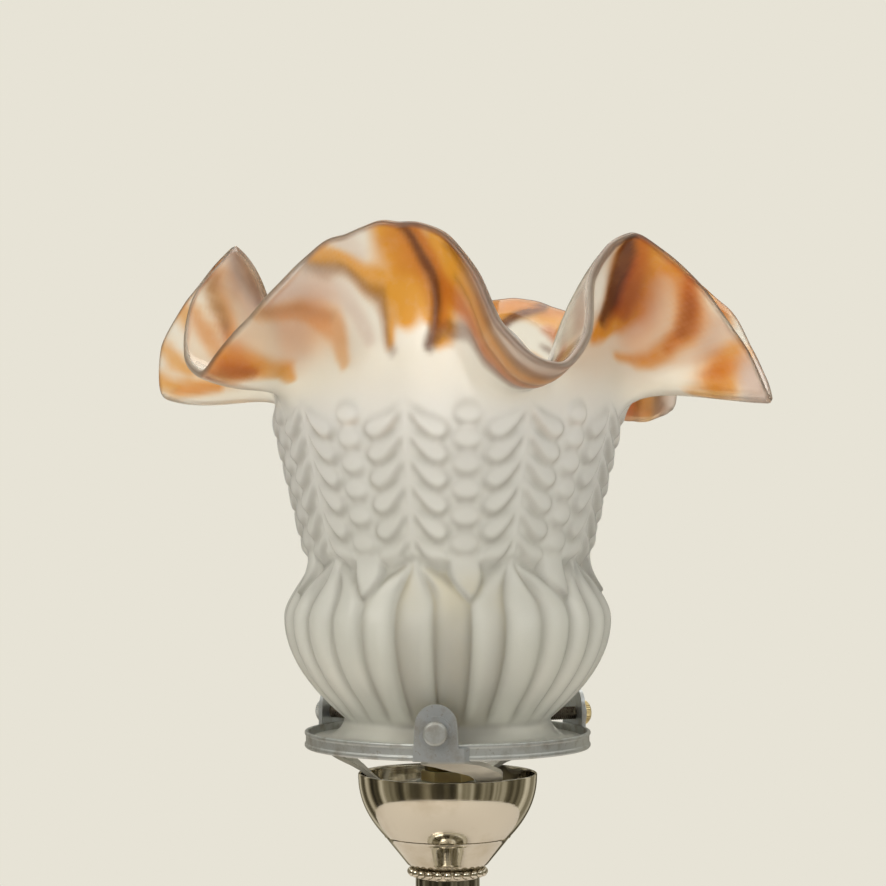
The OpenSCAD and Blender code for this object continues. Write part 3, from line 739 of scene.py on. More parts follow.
def softened(node: str, finish: Finish, edge_mm: float = 0.15, body: str = "lamp") -> None:
    """Puts a copy of a CAD node in its place, with a small round on its sharp edges.

    Args:
        node: the CAD node.
        finish: its finish.
        edge_mm: the width of the round.
        body: the body that it rides on.
    """
    sharp = math.radians(34)
    source = frame["nodes"][node].data
    points = [tuple(v.co) for v in source.vertices]
    plain = bpy.data.meshes.new(f"{node}_plain")
    plain.from_pydata(points, [], [list(p.vertices) for p in source.polygons])
    work = bmesh.new()
    work.from_mesh(plain)
    bmesh.ops.remove_doubles(work, verts=work.verts, dist=2e-6)
    flat = math.radians(0.4)
    bmesh.ops.dissolve_limit(work, angle_limit=flat, verts=work.verts, edges=work.edges)
    work.to_mesh(plain)
    work.free()
    plain.shade_smooth()
    plain.set_sharp_from_angle(angle=sharp)
    piece = settle(f"{node}_finished", plain, finish, body, node)
    bevel = piece.modifiers.new("broken_edges", "BEVEL")
    bevel.width = edge_mm * MM
    bevel.segments = 2
    bevel.limit_method = "ANGLE"
    bevel.angle_limit = sharp
    bevel.harden_normals = True


# ---- Rings of copies, made by nodes ----


class Copy(Enum):
    """What stands round a ring."""

    BEAD = "bead"
    RIDGE = "ridge"


@dataclass(frozen=True)
class RingOfCopies:
    """A ring of equal beads or upright ridges round the Z axis, made by Geometry Nodes.

    Args:
        kind: what stands round the ring.
        finish: the finish of every copy.
        count: how many copies there are.
        ring_radius: the ring's radius through the copies' middles.
        height: the ring's height.
        copy_radius: each copy's radius.
        copy_length: a ridge's length.
    """

    kind: Copy
    finish: Finish
    count: int
    ring_radius: float
    height: float
    copy_radius: float
    copy_length: float = 0.0

    def tree(self) -> bpy.types.NodeTree:
        """Builds the node group, with its sizes as named inputs.

        Returns:
            The node group.
        """
        group = bpy.data.node_groups.new(f"ring_of_{self.kind.value}s", "GeometryNodeTree")
        for name in ("Count", "Ring Radius", "Height", "Copy Radius", "Copy Length"):
            kind = "NodeSocketInt" if name == "Count" else "NodeSocketFloat"
            group.interface.new_socket(name=name, in_out="INPUT", socket_type=kind)
        shape = "NodeSocketGeometry"
        group.interface.new_socket(name="Geometry", in_out="OUTPUT", socket_type=shape)
        nodes = Nodes(group)
        sizes = nodes.add("NodeGroupInput").outputs
        circle = {"Vertices": sizes["Count"], "Radius": sizes["Ring Radius"]}
        flat = nodes.add("GeometryNodeMeshCircle", circle)
        lift = nodes.add("ShaderNodeCombineXYZ", {"Z": sizes["Height"]})
        points = nodes.add("GeometryNodeSetPosition", {"Geometry": flat, "Offset": lift})
        if self.kind is Copy.BEAD:
            ball = {"Segments": 16, "Rings": 10, "Radius": sizes["Copy Radius"]}
            one = nodes.add("GeometryNodeMeshUVSphere", ball)
        else:
            bar = {"Vertices": 6, "Radius": sizes["Copy Radius"], "Depth": sizes["Copy Length"]}
            one = nodes.add("GeometryNodeMeshCylinder", bar)
        index = nodes.add("GeometryNodeInputIndex").outputs[0]
        step = nodes.maths("DIVIDE", 2 * math.pi, sizes["Count"])
        facing = nodes.add("ShaderNodeCombineXYZ", {"Z": nodes.maths("MULTIPLY", index, step)})
        spread = {"Points": points, "Instance": one, "Rotation": facing}
        copies = nodes.add("GeometryNodeInstanceOnPoints", spread)
        real = nodes.add("GeometryNodeRealizeInstances", {"Geometry": copies})
        shading = {"Geometry": real, "Shade Smooth": self.kind is Copy.BEAD}
        smooth = nodes.add("GeometryNodeSetShadeSmooth", shading)
        finish = {"Geometry": smooth, "Material": self.finish.material()}
        finished = nodes.add("GeometryNodeSetMaterial", finish)
        nodes.add("NodeGroupOutput", {"Geometry": finished})
        return group

    def mesh(self, name: str) -> Mesh:
        """Runs the nodes once and keeps what they make.

        Args:
            name: the mesh's name.

        Returns:
            A plain mesh.
        """
        group = self.tree()
        carrier = linked(f"{name}_carrier", bpy.data.meshes.new(f"{name}_seed"))
        modifier = carrier.modifiers.new("ring", "NODES")
        modifier.node_group = group
        values = {
            "Count": self.count,
            "Ring Radius": self.ring_radius * MM,
            "Height": self.height * MM,
            "Copy Radius": self.copy_radius * MM,
            "Copy Length": self.copy_length * MM,
        }
        for item in group.interface.items_tree:
            if item.in_out == "INPUT":
                modifier[item.identifier] = values[item.name]
        made = evaluated(carrier)
        made.name = name
        bpy.data.objects.remove(carrier)
        return made


# ---- Shade ----


class Ink(Enum):
    """The colours run into the ruffle, named as the mesh's attributes."""

    BLUSH = "blush"
    AMBER = "amber"
    DEEP = "deep"
    BROWN = "brown"


@dataclass(frozen=True)
class Streak:
    """One run of colour in the ruffle.

    Args:
        ink: its colour.
        points: (angle in degrees, share of the way from vase to rim, half width in mm), in order.
        soft: share of the half width over which its edges fade.
        lean: above 0 its right side fades further, below 0 its left side.
        strength: how much of the colour it carries.
    """

    ink: Ink
    points: tuple[tuple[float, float, float], ...]
    soft: float = 0.6
    lean: float = 0.0
    strength: float = 1.0

    def moved(self, turn: float, mirrored: bool = False) -> "Streak":
        """Gives the same streak at another place round the ruffle.

        Args:
            turn: how far round it goes, in degrees.
            mirrored: turns it left to right about angle 0 first.

        Returns:
            The new streak.
        """
        sign = -1 if mirrored else 1
        points = tuple((sign * a + turn, t, w) for a, t, w in self.points)
        return Streak(self.ink, points, self.soft, sign * self.lean, self.strength)


# Runs on the tall front-left petal
FRONT_LEFT_RUNS = (
    Streak(Ink.AMBER, ((-105, 1.02, 5), (-104, 0.8, 6), (-103, 0.62, 5), (-102, 0.48, 3)), 0.9),
    Streak(Ink.AMBER, ((-98.5, 1.02, 4), (-98, 0.75, 4), (-97, 0.52, 2.5)), 0.9),
    Streak(Ink.AMBER, ((-90.5, 1.02, 5), (-91, 0.8, 5), (-91.5, 0.6, 4), (-92.5, 0.42, 2.5)), 0.8),
    Streak(Ink.DEEP, ((-104, 0.9, 4), (-102, 0.75, 4)), 1.0, 0.0, 0.45),
    Streak(Ink.DEEP, ((-100, 1.02, 4), (-96.5, 0.84, 4.5), (-93.5, 0.66, 4),
           (-93, 0.5, 2.5)), 0.9, 0.3, 0.8),
    Streak(Ink.BROWN, ((-101, 1.0, 1.5), (-98, 0.86, 1.8), (-95, 0.72, 1.8), (-94, 0.6, 1.5),
           (-94.2, 0.48, 1.3), (-95.7, 0.36, 1.1)), 0.6, 0.0, 0.9),
    Streak(Ink.AMBER, ((-122, 1.0, 2), (-117, 0.86, 3), (-111.5, 0.73, 3.2), (-107.5, 0.62, 3),
           (-106.5, 0.48, 2.2), (-107, 0.38, 1.4)), 0.7, 0.4, 0.9),
    Streak(Ink.BROWN, ((-124, 0.99, 1.2), (-120, 0.86, 1.6), (-114, 0.73, 1.7),
           (-109.6, 0.62, 1.6), (-108.3, 0.5, 1.4), (-108, 0.38, 1.2),
           (-106.3, 0.33, 1.0)), 0.7, 0.5, 0.5),
    Streak(Ink.AMBER, ((-134.5, 1.0, 2.2), (-131.3, 0.86, 2.8), (-128.4, 0.73, 3),
           (-126.2, 0.61, 3), (-125.2, 0.5, 2.8), (-124.7, 0.38, 2.2),
           (-123.8, 0.32, 1.5)), 0.7, -0.3, 0.6),
    Streak(Ink.AMBER, ((-146, 1.0, 4.5), (-145, 0.88, 4.2), (-143.5, 0.77, 3.4), (-142, 0.66, 2.8),
           (-140.2, 0.55, 2.4), (-141.5, 0.43, 1.8)), 0.8, 0.0, 0.85),
    Streak(Ink.DEEP, ((-149, 1.0, 2.4), (-147, 0.95, 2.8), (-146, 0.86, 2.4),
           (-144.6, 0.76, 1.6)), 1.0, 0.0, 0.75),
    Streak(Ink.BROWN, ((-149, 1.0, 1.2), (-147.4, 0.95, 1.6), (-146.4, 0.86, 1.3),
           (-145, 0.76, 1.0)), 0.8, 0.0, 0.4),
    Streak(Ink.AMBER, ((-140, 0.95, 7), (-136, 0.8, 7), (-132, 0.66, 6)), 1.0, 0.0, 0.22),
    Streak(Ink.BROWN, ((-134.5, 1.0, 1.6), (-131, 0.87, 1.4), (-127.6, 0.73, 1.2),
           (-125.4, 0.61, 1.0)), 1.0, 0.0, 0.2),
    Streak(Ink.BLUSH, ((-116, 1.0, 3), (-113.5, 0.88, 2.5)), 0.9, 0.0, 0.6),
    Streak(Ink.BLUSH, ((-130, 1.0, 4), (-126, 0.85, 4), (-121, 0.72, 3), (-117, 0.55, 2.5),
           (-115, 0.42, 2)), 1.0, 0.0, 0.7),
)

# Runs in the front trough
FRONT_TROUGH_RUNS = (
    Streak(Ink.AMBER, ((-91, 0.9, 5), (-85, 0.82, 6), (-78, 0.78, 7), (-70, 0.8, 6),
           (-62, 0.86, 4)), 0.9, 0.0, 0.85),
    Streak(Ink.DEEP, ((-90, 0.7, 3.5), (-84, 0.64, 4.5), (-76, 0.64, 4.5), (-67, 0.7, 3.5),
           (-60, 0.78, 2.5)), 1.0, 0.0, 0.8),
    Streak(Ink.BROWN, ((-94, 0.42, 1.4), (-89, 0.49, 2.2), (-82, 0.54, 2.8), (-74, 0.56, 2.8),
           (-66, 0.59, 2.2), (-60, 0.62, 1.4)), 0.8, 0.0, 0.6),
    Streak(Ink.BROWN, ((-89, 0.98, 1.6), (-83, 0.92, 2.4), (-74, 0.9, 2.4),
           (-66, 0.94, 1.6)), 1.0, 0.0, 0.6),
    Streak(Ink.BROWN, ((-87, 0.8, 1.1), (-80, 0.74, 1.3), (-72, 0.74, 1.3),
           (-65, 0.8, 1.1)), 0.8, 0.0, 0.45),
    Streak(Ink.BLUSH, ((-84, 1.0, 3), (-74, 1.0, 4), (-64, 1.0, 4),
           (-56, 0.95, 4)), 1.0, 0.0, 0.8),
)

# Runs on the front-right petal
FRONT_RIGHT_RUNS = (
    Streak(Ink.AMBER, ((-38, 1.02, 7), (-34.5, 0.86, 7), (-32, 0.7, 5.5), (-32.5, 0.56, 3.5),
           (-37, 0.43, 2)), 0.7),
    Streak(Ink.AMBER, ((-37, 1.0, 3.5), (-33, 0.98, 4), (-29.5, 0.99, 3)), 0.8, 0.0, 0.8),
    Streak(Ink.DEEP, ((-38.5, 1.0, 4), (-36, 0.88, 4.8), (-33.6, 0.75, 4.2),
           (-32.6, 0.62, 2.6)), 0.8, 0.2, 0.95),
    Streak(Ink.BROWN, ((-40, 1.0, 2.2), (-38.8, 0.92, 2.8), (-37.2, 0.78, 2.8), (-35.2, 0.64, 1.9),
           (-35.6, 0.52, 1.2)), 0.8, 0.4, 0.95),
    Streak(Ink.AMBER, ((-29.2, 1.0, 2.4), (-26, 0.96, 2.8), (-23.3, 0.91, 3), (-20.7, 0.82, 2.6),
           (-19.5, 0.7, 2.1), (-19.8, 0.58, 1.6), (-22.6, 0.47, 1.3),
           (-27.3, 0.39, 1.0)), 0.8, 0.0, 0.85),
    Streak(Ink.DEEP, ((-26.5, 0.98, 0.9), (-24, 0.93, 1.6), (-22, 0.87, 1.8), (-20.5, 0.8, 1.3),
           (-19.6, 0.71, 0.8)), 1.0, 0.0, 0.9),
    Streak(Ink.BROWN, ((-24, 0.93, 1.2), (-22.4, 0.88, 1.5), (-21, 0.82, 1.1)), 0.9, 0.0, 0.35),
    Streak(Ink.AMBER, ((-18.1, 1.0, 1.6), (-16, 0.92, 2.3), (-13.6, 0.82, 2.7), (-11.9, 0.72, 2),
           (-11.5, 0.64, 1.2)), 0.9, 0.3, 0.9),
    Streak(Ink.DEEP, ((-16.4, 0.93, 1.0), (-14, 0.84, 1.5), (-12.4, 0.75, 1.1)), 1.0, 0.0, 0.45),
    Streak(Ink.AMBER, ((-31, 0.9, 6), (-28, 0.72, 7), (-25, 0.58, 6)), 1.0, 0.0, 0.28),
    Streak(Ink.BLUSH, ((-12, 1, 4), (-6, 0.97, 5), (2, 0.98, 4)), 0.9),
    Streak(Ink.BLUSH, ((-49, 1.0, 3), (-48, 0.8, 3), (-48, 0.6, 2.5)), 1.0, 0.0, 0.9),
)

# Runs on the left petal: steep stripes side by side, seen on its glossy inside
LEFT_RUNS = (
    Streak(Ink.AMBER, ((-174.5, 1.0, 2), (-173.6, 0.86, 2.6), (-173, 0.7, 2.6),
           (-172, 0.5, 2)), 0.8, 0.0, 0.5),
    Streak(Ink.BROWN, ((-172.5, 1.0, 1.8), (-171.6, 0.86, 2.2), (-171.4, 0.7, 2.2),
           (-170.4, 0.5, 1.6)), 0.9, 0.0, 0.6),
    Streak(Ink.BLUSH, ((-171.4, 1.0, 1.6), (-170, 0.86, 2), (-169.4, 0.7, 2)), 0.9),
    Streak(Ink.AMBER, ((-168.2, 1.0, 1.4), (-166.9, 0.94, 1.8), (-165.5, 0.87, 2.2),
           (-164.1, 0.8, 2.2), (-162.6, 0.73, 2), (-160.5, 0.6, 1.4)), 0.7, 0.0, 0.75),
    Streak(Ink.BROWN, ((-167.8, 1.0, 1.0), (-166.4, 0.94, 1.0), (-165, 0.87, 1.2),
           (-163.6, 0.8, 1.1)), 0.8, 0.0, 0.5),
    Streak(Ink.AMBER, ((-163.4, 1.0, 1.2), (-162.2, 0.97, 1.6), (-161.2, 0.93, 2),
           (-160, 0.86, 2.2), (-158.5, 0.77, 1.8), (-156.5, 0.66, 1.3)), 0.7, 0.0, 0.6),
    Streak(Ink.AMBER, ((-153, 0.8, 2), (-156, 0.64, 2.2), (-160, 0.48, 1.8)), 0.8, 0.0, 0.6),
    Streak(Ink.AMBER, ((180, 1.0, 1.8), (178.6, 0.85, 2.2), (176.6, 0.65, 2)), 0.8, 0.0, 0.85),
    Streak(Ink.BROWN, ((179, 1.0, 1.1), (177.6, 0.85, 1.3), (175.8, 0.65, 1.1)), 0.8, 0.0, 0.45),
    Streak(Ink.AMBER, ((173, 1.0, 1.8), (171.5, 0.86, 2.2), (170, 0.68, 2)), 0.8, 0.0, 0.8),
    Streak(Ink.AMBER, ((167.8, 1.0, 1.6), (166.2, 0.93, 2), (165, 0.84, 1.4)), 0.8, 0.0, 0.8),
    Streak(Ink.AMBER, ((163.4, 1.0, 2.2), (162, 0.92, 2.6), (162, 0.8, 2.2),
           (163, 0.68, 1.6)), 0.8, 0.0, 0.85),
    Streak(Ink.AMBER, ((155, 1.0, 3), (153, 0.85, 3), (151, 0.65, 2)), 0.8, 0.0, 0.8),
)

# Runs on the back of the ruffle, seen over the trough on its glossy inside
BACK_RUNS = (
    Streak(Ink.AMBER, ((54, 1.0, 4), (62, 0.93, 6), (72, 0.9, 7), (80, 0.92, 7),
           (88, 0.98, 5)), 0.7),
    Streak(Ink.DEEP, ((58, 1.0, 3), (66, 0.95, 4), (74, 0.94, 5), (84, 0.97, 4)), 0.9, 0.0, 0.6),
    Streak(Ink.BROWN, ((78, 0.64, 1.6), (72, 0.73, 2.2), (67, 0.85, 2.2),
           (63.5, 0.98, 1.8)), 0.8, 0.0, 0.9),
    Streak(Ink.AMBER, ((84, 0.68, 3), (78, 0.72, 3), (74, 0.77, 2.5)), 0.8, 0.0, 0.9),
    Streak(Ink.AMBER, ((60, 0.5, 2), (66, 0.46, 2.4), (72, 0.47, 2)), 0.8, 0.0, 0.7),
    Streak(Ink.BLUSH, ((52, 0.98, 4), (46, 0.98, 5), (40, 1.0, 5)), 0.9),
)


def rise(low: float, high: float, x: Array) -> Array:
    """Goes straight from 0 at low to 1 at high, and stays there."""
    return np.clip((x - low) / (high - low), 0, 1)


@dataclass
class RuffledShade:
    """The glass shade: lip, neck, melon, leaf-and-berry vase and ruffle, as one closed skin.

    Heights run up from the lip's underside, and the pattern's angles from the nearest column of
    berries. The ruffle's table has, for each turn of the rim, its angle, its reach past the
    vase, its height over the vase and the belly's height.
    """

    lip_radius: float = 41.2
    lip_width: float = 5.6
    lip_thick: float = 1.8
    neck_radius: float = 31.1
    neck_height: float = 7.6
    bulge_radius: float = 49.4
    waist_radius: float = 42.0
    vase_radius: float = 51.4
    vase_height: float = 95.2
    bulge_share: float = 0.395
    waist_share: float = 0.586
    wall: float = 2.6
    repeats: int = 9
    berry_angle: float = -83.7
    stem_angle: float = 20.0
    berry_rows: int = 6
    berry_top: float = 98.8
    berry_step: float = 6.9
    berry_spread: float = 0.11
    berry_half: tuple[float, float] = (4.3, 3.6)
    leaf_half: float = 3.5
    leaf_foot: float = -4.3
    leaf_sweep: float = 7.3
    stem_half: float = 0.9
    stem_raise: float = 0.5
    drop_foot: float = 45.0
    drop_widest: float = 53.5
    drop_half: float = 4.8
    lobe_depth: float = 1.9
    lobe_power: float = 2.3
    melon_lean: float = 1.8
    relief_depth: float = 1.75
    fold_depth: float = 0.6
    wobble: float = 0.3
    columns: int = 486
    body_rows: tuple[int, int, int, int] = (4, 17, 22, 56)
    flare_rows: int = 52
    flare_length: float = 52.0
    flare_pattern: float = 0.3
    inner_skip: int = 5
    softest_edge: float = 1.25
    ruffle_table: tuple[tuple[float, float, float, float], ...] = (
        (-151, 31, 14.5, 6), (-142, 29, 23, 13), (-134, 25, 33.5, 24), (-122, 19, 49, 37),
        (-113, 17.7, 53.4, 42.5), (-105, 17, 56, 46), (-92, 17, 53, 43), (-85, 22, 42, 33),
        (-80, 28, 27, 18), (-71, 37, 15.5, 5), (-60, 29, 25, 15), (-53, 19, 42, 32),
        (-39, 18, 54, 44), (-28, 28, 43.5, 34.5), (-17, 40, 22.5, 14.5), (-10, 46, 7, 7),
        (5, 42, 23, 15), (12, 37, 36, 27), (26, 22, 51, 41), (33, 34, 30, 20), (42, 46, 6, -7),
        (53, 25, 30.5, 21), (62, 19, 38.2, 29), (77, 16, 39.7, 31), (88, 27, 28, 19),
        (102, 41, 10, 4), (115, 31, 29, 21), (130, 17, 48, 39), (143, 31, 32, 23),
        (158, 44, 9, 2), (167, 40, 24, 16), (173, 30, 37, 28), (187, 14.3, 52.8, 44.5),
        (195, 27, 37, 28), (202, 32, 21, 12),
    )

    def __post_init__(self) -> None:
        """Works out the heights of the bulge and waist, and of each berry."""
        self.bulge_height: float = self.bulge_share * self.vase_height
        self.waist_height: float = self.waist_share * self.vase_height
        self.berry_heights: list[float] = [
            self.berry_top - self.berry_step * i - self.berry_spread * i * i
            for i in range(self.berry_rows)
        ]

    def ruffle(self, angle: Array) -> Array:
        """Draws a smooth curve through the ruffle's table.

        Args:
            angle: angles in degrees.

        Returns:
            Reach, rim height and belly height at each angle.
        """
        keys = np.array(self.ruffle_table)
        before, after = np.roll(keys, 1, 0), np.roll(keys, -1, 0)
        before[0, 0] -= 360
        after[-1, 0] += 360
        slope = (after[:, 1:] - before[:, 1:]) / (after[:, :1] - before[:, :1])
        turn = np.mod(angle - keys[0, 0], 360) + keys[0, 0]
        i = np.searchsorted(keys[:, 0], turn, side="right") - 1
        j = (i + 1) % len(keys)
        gap = (after[i, 0] - keys[i, 0])[:, None]
        u = (turn - keys[i, 0])[:, None] / gap
        return (
            (2 * u**3 - 3 * u**2 + 1) * keys[i, 1:]
            + (u**3 - 2 * u**2 + u) * gap * slope[i]
            + (3 * u**2 - 2 * u**3) * keys[j, 1:]
            + (u**3 - u**2) * gap * slope[j]
        )

    def flare_controls(self, angle: Array) -> Array:
        """Gives the four control points of the flare's profile at each angle.

        Args:
            angle: angles in degrees.

        Returns:
            An array of 4 by angles by (radius, height).
        """
        reach, rim, belly = self.ruffle(angle).T
        turn = np.radians(angle)
        rim = rim - self.wobble * (1 + 0.6 * np.sin(31 * turn) + 0.4 * np.sin(53 * turn + 1.7))
        ridge = rise(7, 55, rim)
        # How far each control point goes out of the vase and up from it, in a trough and on a peak
        steps = (
            (0.0, 0.0),
            (mix(2.4, 1.6, ridge), mix(15, 21, ridge)),
            (mix(0.8 * reach - 0.2 * self.vase_radius, 3.2, ridge), belly),
            (reach, rim),
        )
        controls = np.zeros((4, len(angle), 2))
        for k, (out, up) in enumerate(steps):
            controls[k, :, 0] = self.vase_radius + out
            controls[k, :, 1] = self.vase_height + up
        return controls

    def body_radius(self, height: Array) -> Array:
        """Gives the smooth body's radius.

        Args:
            height: heights on the body.

        Returns:
            The radius at each height.
        """
        neck_share = 1 - rise(self.lip_thick, self.neck_height, height)
        neck = mix(self.neck_radius, self.lip_radius - self.lip_width, neck_share**2)
        below = 1 - rise(self.neck_height, self.bulge_height, height)
        melon = mix(self.bulge_radius, self.neck_radius, below**2)
        fall = rise(self.bulge_height, self.waist_height, height)
        over = mix(self.bulge_radius, self.waist_radius, (1 - np.cos(np.pi * fall)) / 2)
        up = (height - self.waist_height) / (self.vase_height - self.waist_height)
        vase = mix(self.waist_radius, self.vase_radius, up)
        limits = (self.neck_height, self.bulge_height, self.waist_height)
        return np.select([height < limit for limit in limits], [neck, melon, over], vase)

    def berries(self, height: Array, off: Array, radius: Array) -> Array:
        """Raises the column of berries, each tilted out at its foot.

        Args:
            height: heights on the body.
            off: angles from the berry column.
            radius: radii, to turn angles into millimetres.

        Returns:
            The relief in millimetres.
        """
        half_across, half_up = self.berry_half
        across = radius * np.radians(off) / half_across
        raised = np.zeros(np.broadcast(height, off).shape)
        for middle in self.berry_heights:
            up = (height - middle) / half_up
            inside = np.clip(1 - across**2 - up**2, 0, 1)
            berry = self.relief_depth * (0.75 - 0.3 * up) * inside**0.45
            raised = np.maximum(raised, berry * (inside > 0))
        return raised

    def leaves(self, height: Array, off: Array) -> Array:
        """Raises the leaves that sweep from the berries up to each stem, and the stem.

        Args:
            height: heights on the body.
            off: angles from the berry column.

        Returns:
            The relief in millimetres.
        """
        widest, root_width, tip_width = 0.53, 0.22, 0.48
        share = off / self.stem_angle
        sweep = self.leaf_foot + self.leaf_sweep * rise(0.45, 1.0, share) ** 1.7
        tip = np.clip((share - 0.52) / tip_width, 0, 1)
        root = np.clip((widest - share) / root_width, 0, 1)
        shape = np.where(share < widest, np.sqrt(np.clip(1 - root**2, 0, 1)), 1 - 0.9 * tip**2)
        half = self.leaf_half * shape + TINY
        thin = mix(1.0, 0.25, rise(0.8, 1.0, share)) * (share > widest - root_width)
        raised = np.zeros(np.broadcast(height, off).shape)
        for middle in self.berry_heights:
            up = (height - middle - sweep) / half
            inside = np.clip(1 - up**4, 0, 1)
            leaf = self.relief_depth * (0.7 - 0.38 * up) * inside**0.6 * thin
            raised = np.maximum(raised, leaf * (inside > 0))
        across = np.clip(1 - ((self.stem_angle - off) / self.stem_half) ** 2, 0, 1)
        from_foot_to_tip = ramp(57, 60, height) * (1 - ramp(101, 104, height))
        return np.maximum(raised, self.stem_raise * across * from_foot_to_tip)

    def teardrop(self, height: Array, off: Array, radius: Array) -> Array:
        """Raises the pointed drop that hangs from each berry column between the melon's lobes.

        Args:
            height: heights on the body.
            off: angles from the berry column.
            radius: radii, to turn angles into millimetres.

        Returns:
            The relief in millimetres.
        """
        share = rise(self.drop_foot, self.drop_widest, height)
        half = self.drop_half * np.sin(np.pi / 2 * share**0.9) + TINY
        inside = np.clip(1 - (radius * np.radians(off) / half) ** 2, 0, 1)
        return inside**0.5 * (share > 0) * (1 - ramp(55.5, 59.5, height))

    def lobes(self, height: Array, off: Array) -> Array:
        """Sinks the creases between the melon's lobes, which end in pointed arches.

        Args:
            height: heights on the body.
            off: angles from the berry column.

        Returns:
            How far the surface sinks, in millimetres.
        """
        from_stem = self.stem_angle - off
        centre_arch, side_arch = rise(44, 55, height), rise(44.5, 56, height)
        first = mix(7.2, 1.2, centre_arch**1.4)
        second = self.stem_angle * (1 - side_arch**1.9)
        middle, half = (first + second) / 2, np.maximum((second - first) / 2, 0.05)
        centre_lobe = np.abs(from_stem / first) ** self.lobe_power
        side_lobe = np.abs((from_stem - middle) / half) ** self.lobe_power
        end = rise(46, 57, height) ** 2.4
        centre_sunk, side_sunk = np.maximum(centre_lobe, 0.5 * end), np.maximum(side_lobe, end)
        sunk = np.clip(np.where(from_stem < first, centre_sunk, side_sunk), 0, 1)
        sunk = np.where(from_stem > second, 1.0, sunk)
        return self.lobe_depth * sunk * ramp(8, 14, height) * (1 - ramp(54.5, 58.5, height))

    def relief(self, height: Array, angle: Array, radius: Array) -> Array:
        """Adds up the pressed pattern on the outside.

        Args:
            height: heights on the body.
            angle: angles in degrees.
            radius: radii in millimetres.

        Returns:
            How far the surface stands out, in millimetres.
        """
        step = 360 / self.repeats
        lean = self.melon_lean * (1 - ramp(44, 60, height))
        off = np.abs(np.mod(angle - lean - self.berry_angle + step / 2, step) - step / 2)
        raised = np.maximum(self.berries(height, off, radius), self.leaves(height, off))
        drop = self.teardrop(height, off, radius)
        return np.maximum(raised, drop) - self.lobes(height, off) * (1 - np.clip(2 * drop, 0, 1))

    def outer(self, angles: Array) -> tuple[Array, Array, Array]:
        """Draws the outer face from the neck to the rim.

        Args:
            angles: the columns' angles in degrees.

        Returns:
            Smooth points as rows by columns by 3, the pressed pattern's height at each of them,
            and each row's share of the way up the flare, below 0 on the body.
        """
        start = self.lip_thick + 0.15
        ends = (self.neck_height, self.bulge_height, self.waist_height, self.vase_height)
        runs = zip((start, *ends), ends, self.body_rows)
        heights = np.concatenate([np.linspace(a, b, n, endpoint=False) for a, b, n in runs])
        controls = self.flare_controls(angles)
        last = 1 - 0.5 * self.wall / (3 * np.linalg.norm(controls[3] - controls[2], axis=1))
        share = (np.arange(self.flare_rows) / (self.flare_rows - 1)) ** 1.2
        t = share[:, None] * last[None, :]
        weights = [(1 - t) ** 3, 3 * t * (1 - t) ** 2, 3 * t * t * (1 - t), t**3]
        flare = sum(w[:, :, None] * controls[k] for k, w in enumerate(weights))
        body = np.stack([self.body_radius(heights), heights], axis=1)[:, None]
        profile = np.vstack([np.repeat(body, len(angles), 1), flare])
        radii, levels = profile[:, :, 0], profile[:, :, 1]
        zone = np.concatenate([heights * 0 + 1, (share < self.flare_pattern) * 1.0])[:, None]
        # Each point takes the mean of the pattern round it, which keeps slanting edges straight
        near = (-0.6, -0.3, 0.0, 0.3, 0.6)
        raised = sum(
            self.relief(levels + up, angles[None, :] + on, radii) for up in near for on in near
        )
        points = ring(radii, np.radians(angles)[None, :], levels)
        return points, zone * raised / len(near) ** 2, np.concatenate([heights * 0 - 1, share])

    @staticmethod
    def paint_relief_shade(raised: Array, height: Array) -> Array:
        """Works out painted shade in the creases of the pattern and along raised edges, undersides
        most.

        Args:
            raised: the pattern's height as rows by columns.
            height: heights over the lip's underside.

        Returns:
            0 on open glass up to 1 in the deepest creases.
        """
        rows, near, far = len(raised), 2, 5
        padded = np.pad(raised, ((near, near), (0, 0)), "edge")
        square = np.zeros_like(raised)
        for up in range(2 * near + 1):
            for along in range(-near, near + 1):
                square += np.roll(padded[up : up + rows], along, 1) / (2 * near + 1) ** 2
        wide = sum(np.roll(raised, along, 1) for along in range(-far, far + 1)) / (2 * far + 1)
        under = padded[3 : 3 + rows] - padded[1 : 1 + rows]
        under = np.where(under > 0, under, -0.75 * under)
        flank = np.abs(np.roll(raised, 1, 1) - np.roll(raised, -1, 1))
        edge = 0.68 * ramp(0.15, 0.95, np.hypot(under, 0.6 * flank))
        melon = 0.5 * ramp(0, 0.7, wide - raised)
        crease = np.where(height < 50, melon, ramp(0.05, 0.6, square - raised))
        shelf = ramp(49, 52, height) * (1 - ramp(56.5, 59, height))
        shade_amount = np.maximum(crease, edge) * (1 - 0.4 * shelf)
        for way in (0, 1):
            shade_amount = (np.roll(shade_amount, 1, way) + 2 * shade_amount + np.roll(shade_amount, -1, way)) / 4
        return shade_amount

    @staticmethod
    def normals(points: Array) -> Array:
        """Gives the outward normals of a face that is closed round Z.

        Args:
            points: the face as rows by columns by 3.

        Returns:
            The normal at each point.
        """
        up = np.empty_like(points)
        up[1:-1] = points[2:] - points[:-2]
        up[0], up[-1] = points[1] - points[0], points[-1] - points[-2]
        normal = np.cross(np.roll(points, -1, 1) - np.roll(points, 1, 1), up)
        return normal / np.linalg.norm(normal, axis=2, keepdims=True)

